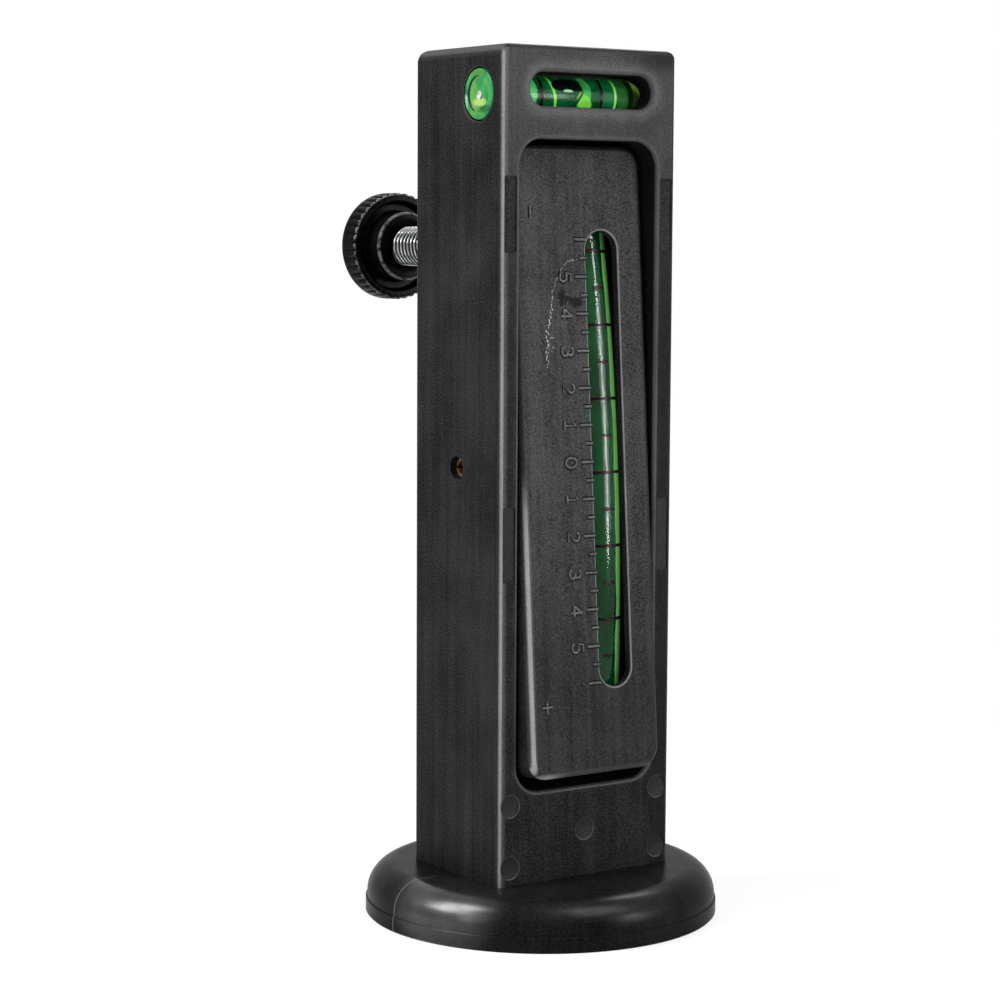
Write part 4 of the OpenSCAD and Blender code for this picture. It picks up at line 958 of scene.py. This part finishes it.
def make_level():
    """Cross level: clear body with a flat head, dyed spirit, bubble, plug with its dimple."""
    c = (0, LEVEL_Y, LEVEL_Z)
    bore_r, plug_r = LEVEL_BORE, 3.2
    head = [(plug_r, LEVEL_LEFT + 0.05), (plug_r + 0.12, LEVEL_LEFT), (4.4, LEVEL_LEFT), (4.62, LEVEL_LEFT + 0.1),
            (4.7, LEVEL_LEFT + 0.35), (4.7, -17.0), (4.5, -16.8), (LEVEL_R + 0.2, -16.8), (LEVEL_R, -16.6)]
    tail = [(LEVEL_R, LEVEL_RIGHT - NOSE_LEN), (NOSE_R + 0.2, LEVEL_RIGHT - 0.35), (NOSE_R, LEVEL_RIGHT - 0.1),
            (1.6, LEVEL_RIGHT), (0, LEVEL_RIGHT)]
    body = turned("level_glass", [(0, -16.8), (plug_r, -16.8), (plug_r, LEVEL_LEFT + 0.05)] + head[1:] + tail, "x", c, 96,
                  [3, 3] + [1] * 7 + [0, 0] + [2] * 4)
    dress(body, "base", ["level_body"], [clear_level, head_green, nose_green, gap_black], sharp=40,
          weight=False)
    face = LEVEL_LEFT + 0.03
    plug = [(0, LEVEL_LEFT + 0.5), (0.5, LEVEL_LEFT + 0.48), (0.85, LEVEL_LEFT + 0.12), (1.0, face), (plug_r - 0.06, face),
            (plug_r - 0.02, face + 0.04), (plug_r - 0.02, -16.82), (0, -16.82)]
    dress(turned("level_stopper", plug, "x", c, 96), "base", ["level_plug"], [plug_green], sharp=50,
          weight=False)
    fluid = turned("level_spirit", [(0, -16.78), (bore_r - 0.02, -16.78), (bore_r - 0.02, 12.18), (0, 12.18)], "x", c, 64)
    # the bubble spreads to the wall of its bore, and its ends are round
    long, deep, wide, rise = 4.4, 1.3, 3.3, bore_r - 1.3 - 0.08
    loops = []
    for k in range(21):
        a = math.pi * k / 20
        size = max(math.sin(a), 0.001) ** 0.45
        loops.append([(-1.3 - long * math.cos(a), LEVEL_Y + wide * size * math.cos(b), LEVEL_Z + rise + deep * size * math.sin(b))
                      for b in (2 * math.pi * j / 48 for j in range(48))])
    gas = loft("level_gas", loops)
    hollow = loft("hollow", [[(x, LEVEL_Y + (y - LEVEL_Y) * 1.01, z) for x, y, z in loop] for loop in loops])
    boolean(fluid, hollow)
    dress(fluid, "base", ["level_fluid"], [level_green], sharp=50, weight=False)
    boolean(gas, turned("within", [(0, -16), (bore_r - 0.03, -16), (bore_r - 0.03, 12), (0, 12)], "x", c, 64), "INTERSECT")
    dress(gas, "base", ["level_bubble"], [bubble_green], sharp=50, weight=False)


# ---------------------------------------------------------------- pin, screw, knob, spring, magnet
def make_pin():
    """Rolled spring pin: a tube with one open slot and chamfered ends."""
    loops, half, edge = [], 18.8, 0.25
    gap = math.asin(0.3 / 2.0)
    n = 56
    for x, ro, ri in ((-half, 2.0 - edge, 1.3), (-half + edge, 2.0, 1.3), (half - edge, 2.0, 1.3), (half, 2.0 - edge, 1.3)):
        ring = [(ro, gap + (2 * math.pi - 2 * gap) * k / n) for k in range(n + 1)]
        ring += [(ri, gap + (2 * math.pi - 2 * gap) * (n - k) / n) for k in range(n + 1)]
        loops.append([(x, r * math.cos(a), PIVOT_Z + r * math.sin(a)) for r, a in ring])
    verts = [v for loop in loops for v in loop]
    m = len(loops[0])
    faces = [(i * m + j, i * m + (j + 1) % m, (i + 1) * m + (j + 1) % m, (i + 1) * m + j)
             for i in range(len(loops) - 1) for j in range(m)]
    for base in (0, (len(loops) - 1) * m):
        faces += [(base + k, base + k + 1, base + m - 2 - k, base + m - 1 - k) for k in range(n)]
    pin = solid("roll_pin", verts, faces)
    dress(pin, "base", ["pivot_pin"], [bronze], sharp=30, weight=False)


def thread_height(turn, crest, root):
    """Radius of an ISO-like thread at a place counted in turns."""
    phase = turn % 1.0
    rise = abs(phase - 0.5) * 2
    flank = min(1, max(0, (rise - 0.14) / 0.72))
    return crest - (crest - root) * flank


def make_screw():
    """Adjusting screw with a true helix of pitch 1.25 and a plain tip."""
    start, end, steps = 9.4, 48.45, 48
    per_pitch = 10
    rows = int((end - start) / PITCH * per_pitch)
    loops = []

    def ring(y, radius):
        return [(radius(k) * math.cos(2 * math.pi * k / steps), y, SCREW_Z + radius(k) * math.sin(2 * math.pi * k / steps))
                for k in range(steps)]
    loops.append(ring(start, lambda k: 0.0))
    loops.append(ring(start, lambda k: 3.1))
    for row in range(rows + 1):
        y = start + (end - start) * row / rows
        lead = min(1.0, (y - start + 0.35) / 1.0)

        def radius(k):
            full = thread_height(y / PITCH + k / steps, THREAD_R, THREAD_R - THREAD_DEPTH)
            return min(full, 3.1 + (THREAD_R - 3.1) * lead)
        loops.append(ring(y, radius))
    loops.append(ring(55.15, lambda k: 3.25))
    loops.append(ring(55.15, lambda k: 0.0))
    screw = loft("thumbscrew_thread", loops, caps=False)
    tip = turned("tip", rounded([(0, 7.55), (2.0, 7.55, 0.3), (2.0, 9.5), (0, 9.5)]), "y", (0, 0, SCREW_Z), 48)
    dress(joined("thumbscrew_thread", [screw, tip]), "adjuster", ["adjusting_screw"], [zinc_thread], sharp=40,
          weight=False)


def make_knob():
    """Knurled knob: rounded teeth round the rim, a groove ahead of them and a raised hub."""
    y0, rim, end = KNOB_Y, KNOB_Y + 3.1, KNOB_Y + 8.3
    teeth, steps = 40, 320
    profile = rounded([(4.02, y0 + 0.35), (4.4, y0), (7.0, y0, 0.55), (7.0, rim + 2.0, 0.5), (9.0, rim + 2.0, 0.5),
                       (9.0, rim, 0.45), (10.9, rim, 0.4), (10.9, rim + 1.2), (10.9, rim + 2.4), (10.9, rim + 3.8),
                       (10.9, end, 0.75), (7.6, end, 0.5), (7.0, end - 0.6, 0.5),
                       (0.0, end - 0.6)], 6)
    inner = [(0.0, 55.25), (4.02, 55.25), (4.02, y0 + 0.35)]
    profile = inner + profile[1:]
    loops = []
    for r, d in profile:
        loop = []
        for k in range(steps):
            a = 2 * math.pi * k / steps
            depth = 0.5 * max(0.0, min(1.0, (r - 9.4) / 1.2)) * max(0.0, min(1.0, (end - 1.5 - d) / 2.2))
            wave = abs(math.cos(teeth * a / 2)) ** 0.75
            rr = r - depth * (1 - wave)
            loop.append((rr * math.cos(a), d, SCREW_Z + rr * math.sin(a)))
        loops.append(loop)
    knob = loft("thumb_knob", loops, caps=False)
    dress(knob, "adjuster", ["knob"], [knob_skin], sharp=50, weight=False)


def make_insert():
    profile = [(4.05, CAVITY_BACK + 0.3), (4.35, CAVITY_BACK), (5.48, CAVITY_BACK), (5.48, 20.0), (5.25, 20.25),
               (4.4, 20.25), (4.05, 19.95), (4.05, CAVITY_BACK + 0.3)]
    dress(turned("brass_insert", profile, "y", (0, 0, SCREW_Z), 96), "base", ["threaded_insert"], [brass])


def make_spring():
    """Round wire coil between the back wall and the cradle's pad."""
    mean, wire, turns = 3.7, 0.4, 4.5
    start, end = CAVITY_BACK, 0.27
    n, sides = int(turns * 28), 12
    points = []
    for k in range(n + 1):
        t = k / n
        a = 2 * math.pi * turns * t
        y = start - wire - 0.02 - (start - end - 2 * wire - 0.04) * t
        points.append(Vector((mean * math.cos(a), y, SPRING_Z + mean * math.sin(a))))
    loops = []
    for k, p in enumerate(points):
        ahead = (points[min(k + 1, n)] - points[max(k - 1, 0)]).normalized()
        out = Vector((p.x, 0, p.z - SPRING_Z)).normalized()
        side = ahead.cross(out).normalized()
        out = side.cross(ahead)
        loops.append([tuple(p + wire * (math.cos(b) * out + math.sin(b) * side))
                      for b in (2 * math.pi * j / sides for j in range(sides))])
    coil = loft("coil_spring", loops)
    dress(coil, "base", ["return_spring"], [spring_wire], sharp=60, weight=False)
    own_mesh(coil)


def recessed_cross(name, r, base, depth, sign):
    """A tapered cross-shaped recess whose mouth is at a distance along Z."""
    arm = 0.45
    loops = []
    for d, grow in ((base - sign * 0.5, 1.05), (base, 1.0), (base + sign * depth, 0.45)):
        a, b = arm * (0.6 + 0.4 * grow), r * grow
        loops.append([(x, y, d) for x, y in ((b, a), (a, a), (a, b), (-a, b), (-a, a), (-b, a), (-b, -a), (-a, -a),
                                             (-a, -b), (a, -b), (a, -a), (b, -a))])
    return loft(name, loops)


def make_magnet():
    cup = [(2.55, 8), (27.4, 8), (27.85, 7.87), (28, 7.5), (28, 0.3), (27.7, 0), (26.3, 0), (26, 0.3), (26, 6), (4.52, 6),
           (2.55, 7.97), (2.55, 8)]
    dress(turned("magnet_shell", cup, "z", steps=160), "base", ["magnet_cup"], [nickel])
    ring = [(11.4, 0), (25.6, 0), (25.98, 0.35), (25.98, 5.7), (25.7, 5.98), (11.3, 5.98), (11, 5.68), (11, 0.4), (11.4, 0)]
    dress(turned("magnet_ring", ring, "z", steps=160), "base", ["ring_magnet"], [ferrite])
    shank = [(0, 6.0), (4.3, 6.0), (4.5, 6.15), (2.5, 8.0)]
    turn = 8.1
    while turn < 19.2:
        shank += [(2.5, turn), (2.1, turn + 0.35), (2.1, turn + 0.45), (2.5, turn + 0.8)]
        turn += 0.8
    shank += [(2.2, 19.7), (1.8, 20.0), (0, 20.0)]
    screw = turned("magnet_bolt", shank, "z", steps=64)
    boolean(screw, recessed_cross("cross", 2.7, 6.0, 1.0, 1))
    dress(screw, "base", ["magnet_screw"], [zinc])


for make in (make_housing, make_plate, make_camber_vial, make_level, make_pin, make_screw, make_knob, make_insert,
             make_spring, make_magnet):
    make()
for plain_node, finish in (("vial_carrier", carrier_skin), ("carrier_screws", zinc), ("thrust_cap", nylon),
                           ("camber_vial_lines", ink), ("level_lines", ink)):
    restyle(plain_node, finish)


# ---------------------------------------------------------------- floor, light and camera
def make_floor():
    """A plain pale floor that keeps the object's shadow."""
    mesh = bpy.data.meshes.new("floor")
    reach = 60.0
    mesh.from_pydata([(-reach, -reach, 0), (reach, -reach, 0), (reach, reach, 0), (-reach, reach, 0)], [], [(0, 1, 2, 3)])
    floor = linked("floor", mesh)
    s = Shade("floor_paint", Roughness=0.9, Specular_IOR_Level=0.0)
    cloud = s.noise(0.004, detail=2)
    s.set(Base_Color=s.blend(cloud, (0.80, 0.80, 0.80), (0.84, 0.84, 0.84)))
    glow = s.add("Emission", Color=(1, 1, 1, 1), Strength=1.0)
    path = s.tree.nodes.new("ShaderNodeLightPath").outputs
    away = s.vector("LENGTH", s.place)
    seen = s.times(s.math("MAXIMUM", path["Is Camera Ray"], path["Is Transmission Ray"]),
                  s.plus(s.times(s.step(away, 60.0, 260.0), 0.25), 0.75))
    mirrored = s.times(path["Is Glossy Ray"], s.step(away, 120.0, 600.0))
    mix = s.tree.nodes.new("ShaderNodeMixShader")
    s.tree.links.new(s.math("MAXIMUM", seen, mirrored), mix.inputs[0])
    s.tree.links.new(s.bsdf.outputs[0], mix.inputs[1])
    s.tree.links.new(glow, mix.inputs[2])
    s.tree.links.new(mix.outputs[0], s.tree.nodes["Material Output"].inputs["Surface"])
    mesh.materials.append(s.mat)


def make_world():
    world = bpy.data.worlds.new("studio")
    bpy.context.scene.world = world
    world.use_nodes = True
    tree = world.node_tree
    plain = tree.nodes["Background"]
    plain.inputs["Color"].default_value = (1, 1, 1, 1)
    plain.inputs["Strength"].default_value = 0.33
    white = tree.nodes.new("ShaderNodeBackground")
    white.inputs["Color"].default_value = (1, 1, 1, 1)
    white.inputs["Strength"].default_value = 1.0
    path = tree.nodes.new("ShaderNodeLightPath").outputs
    most = tree.nodes.new("ShaderNodeMath")
    most.operation = "MAXIMUM"
    both = tree.nodes.new("ShaderNodeMath")
    both.operation = "MAXIMUM"
    tree.links.new(path["Is Camera Ray"], most.inputs[0])
    tree.links.new(path["Is Glossy Ray"], most.inputs[1])
    tree.links.new(most.outputs[0], both.inputs[0])
    tree.links.new(path["Is Transmission Ray"], both.inputs[1])
    mix = tree.nodes.new("ShaderNodeMixShader")
    tree.links.new(both.outputs[0], mix.inputs[0])
    tree.links.new(plain.outputs[0], mix.inputs[1])
    tree.links.new(white.outputs[0], mix.inputs[2])
    tree.links.new(mix.outputs[0], tree.nodes["World Output"].inputs["Surface"])


def lamp(name, place, aim, size, power, diffuse=True):
    """A soft rectangular lamp; without diffuse it only shows as a highlight."""
    light = bpy.data.lights.new(name, "AREA")
    light.shape, light.size, light.size_y, light.energy = "RECTANGLE", size[0], size[1], power
    obj = linked(name, light)
    obj.location = place
    obj.visible_diffuse = obj.visible_transmission = diffuse
    obj.rotation_euler = (Vector(aim) - Vector(place)).to_track_quat("-Z", "Y").to_euler()


def make_camera():
    yaw, pitch, roll = math.radians(34.597), math.radians(5.7526), 0.0051
    ahead = Vector((math.sin(yaw) * math.cos(pitch), math.cos(yaw) * math.cos(pitch), -math.sin(pitch)))
    right = Vector((math.cos(yaw), -math.sin(yaw), 0))
    up = right.cross(ahead)
    right, up = math.cos(roll) * right + math.sin(roll) * up, -math.sin(roll) * right + math.cos(roll) * up
    data = bpy.data.cameras.new("camera")
    data.lens, data.sensor_width = 95.558, 36.0
    data.clip_start = 0.01
    cam = linked("camera", data)
    turned_to = Matrix((right, up, -ahead)).transposed().to_4x4()
    cam.matrix_world = Matrix.Translation((-0.29466, -0.41262, 0.13088)) @ turned_to
    bpy.context.scene.camera = cam


make_floor()
make_world()
lamp("left_softbox", (-0.80, -0.12, 0.34), (0, 0, 0.08), (0.22, 0.45), 1.0)
lamp("right_softbox", (0.45, -0.80, 0.17), (0, 0, 0.09), (0.5, 0.3), 2.9)
lamp("strip", (0.41, -0.76, 0.20), (0, 0, 0.09), (0.16, 0.45), 5.5, diffuse=False)
lamp("front_softbox", (0.07, -0.26, 0.40), (0, 0, 0.12), (0.24, 0.24), 1.3)
lamp("back_softbox", (0.42, 0.34, 0.72), (0, 0, 0.02), (0.50, 0.16), 3.4)
lamp("top_softbox", (-0.58, 0.18, 0.60), (0, 0, 0.02), (0.30, 0.45), 8.0)
make_camera()
bpy.context.scene.view_settings.view_transform = "Standard"
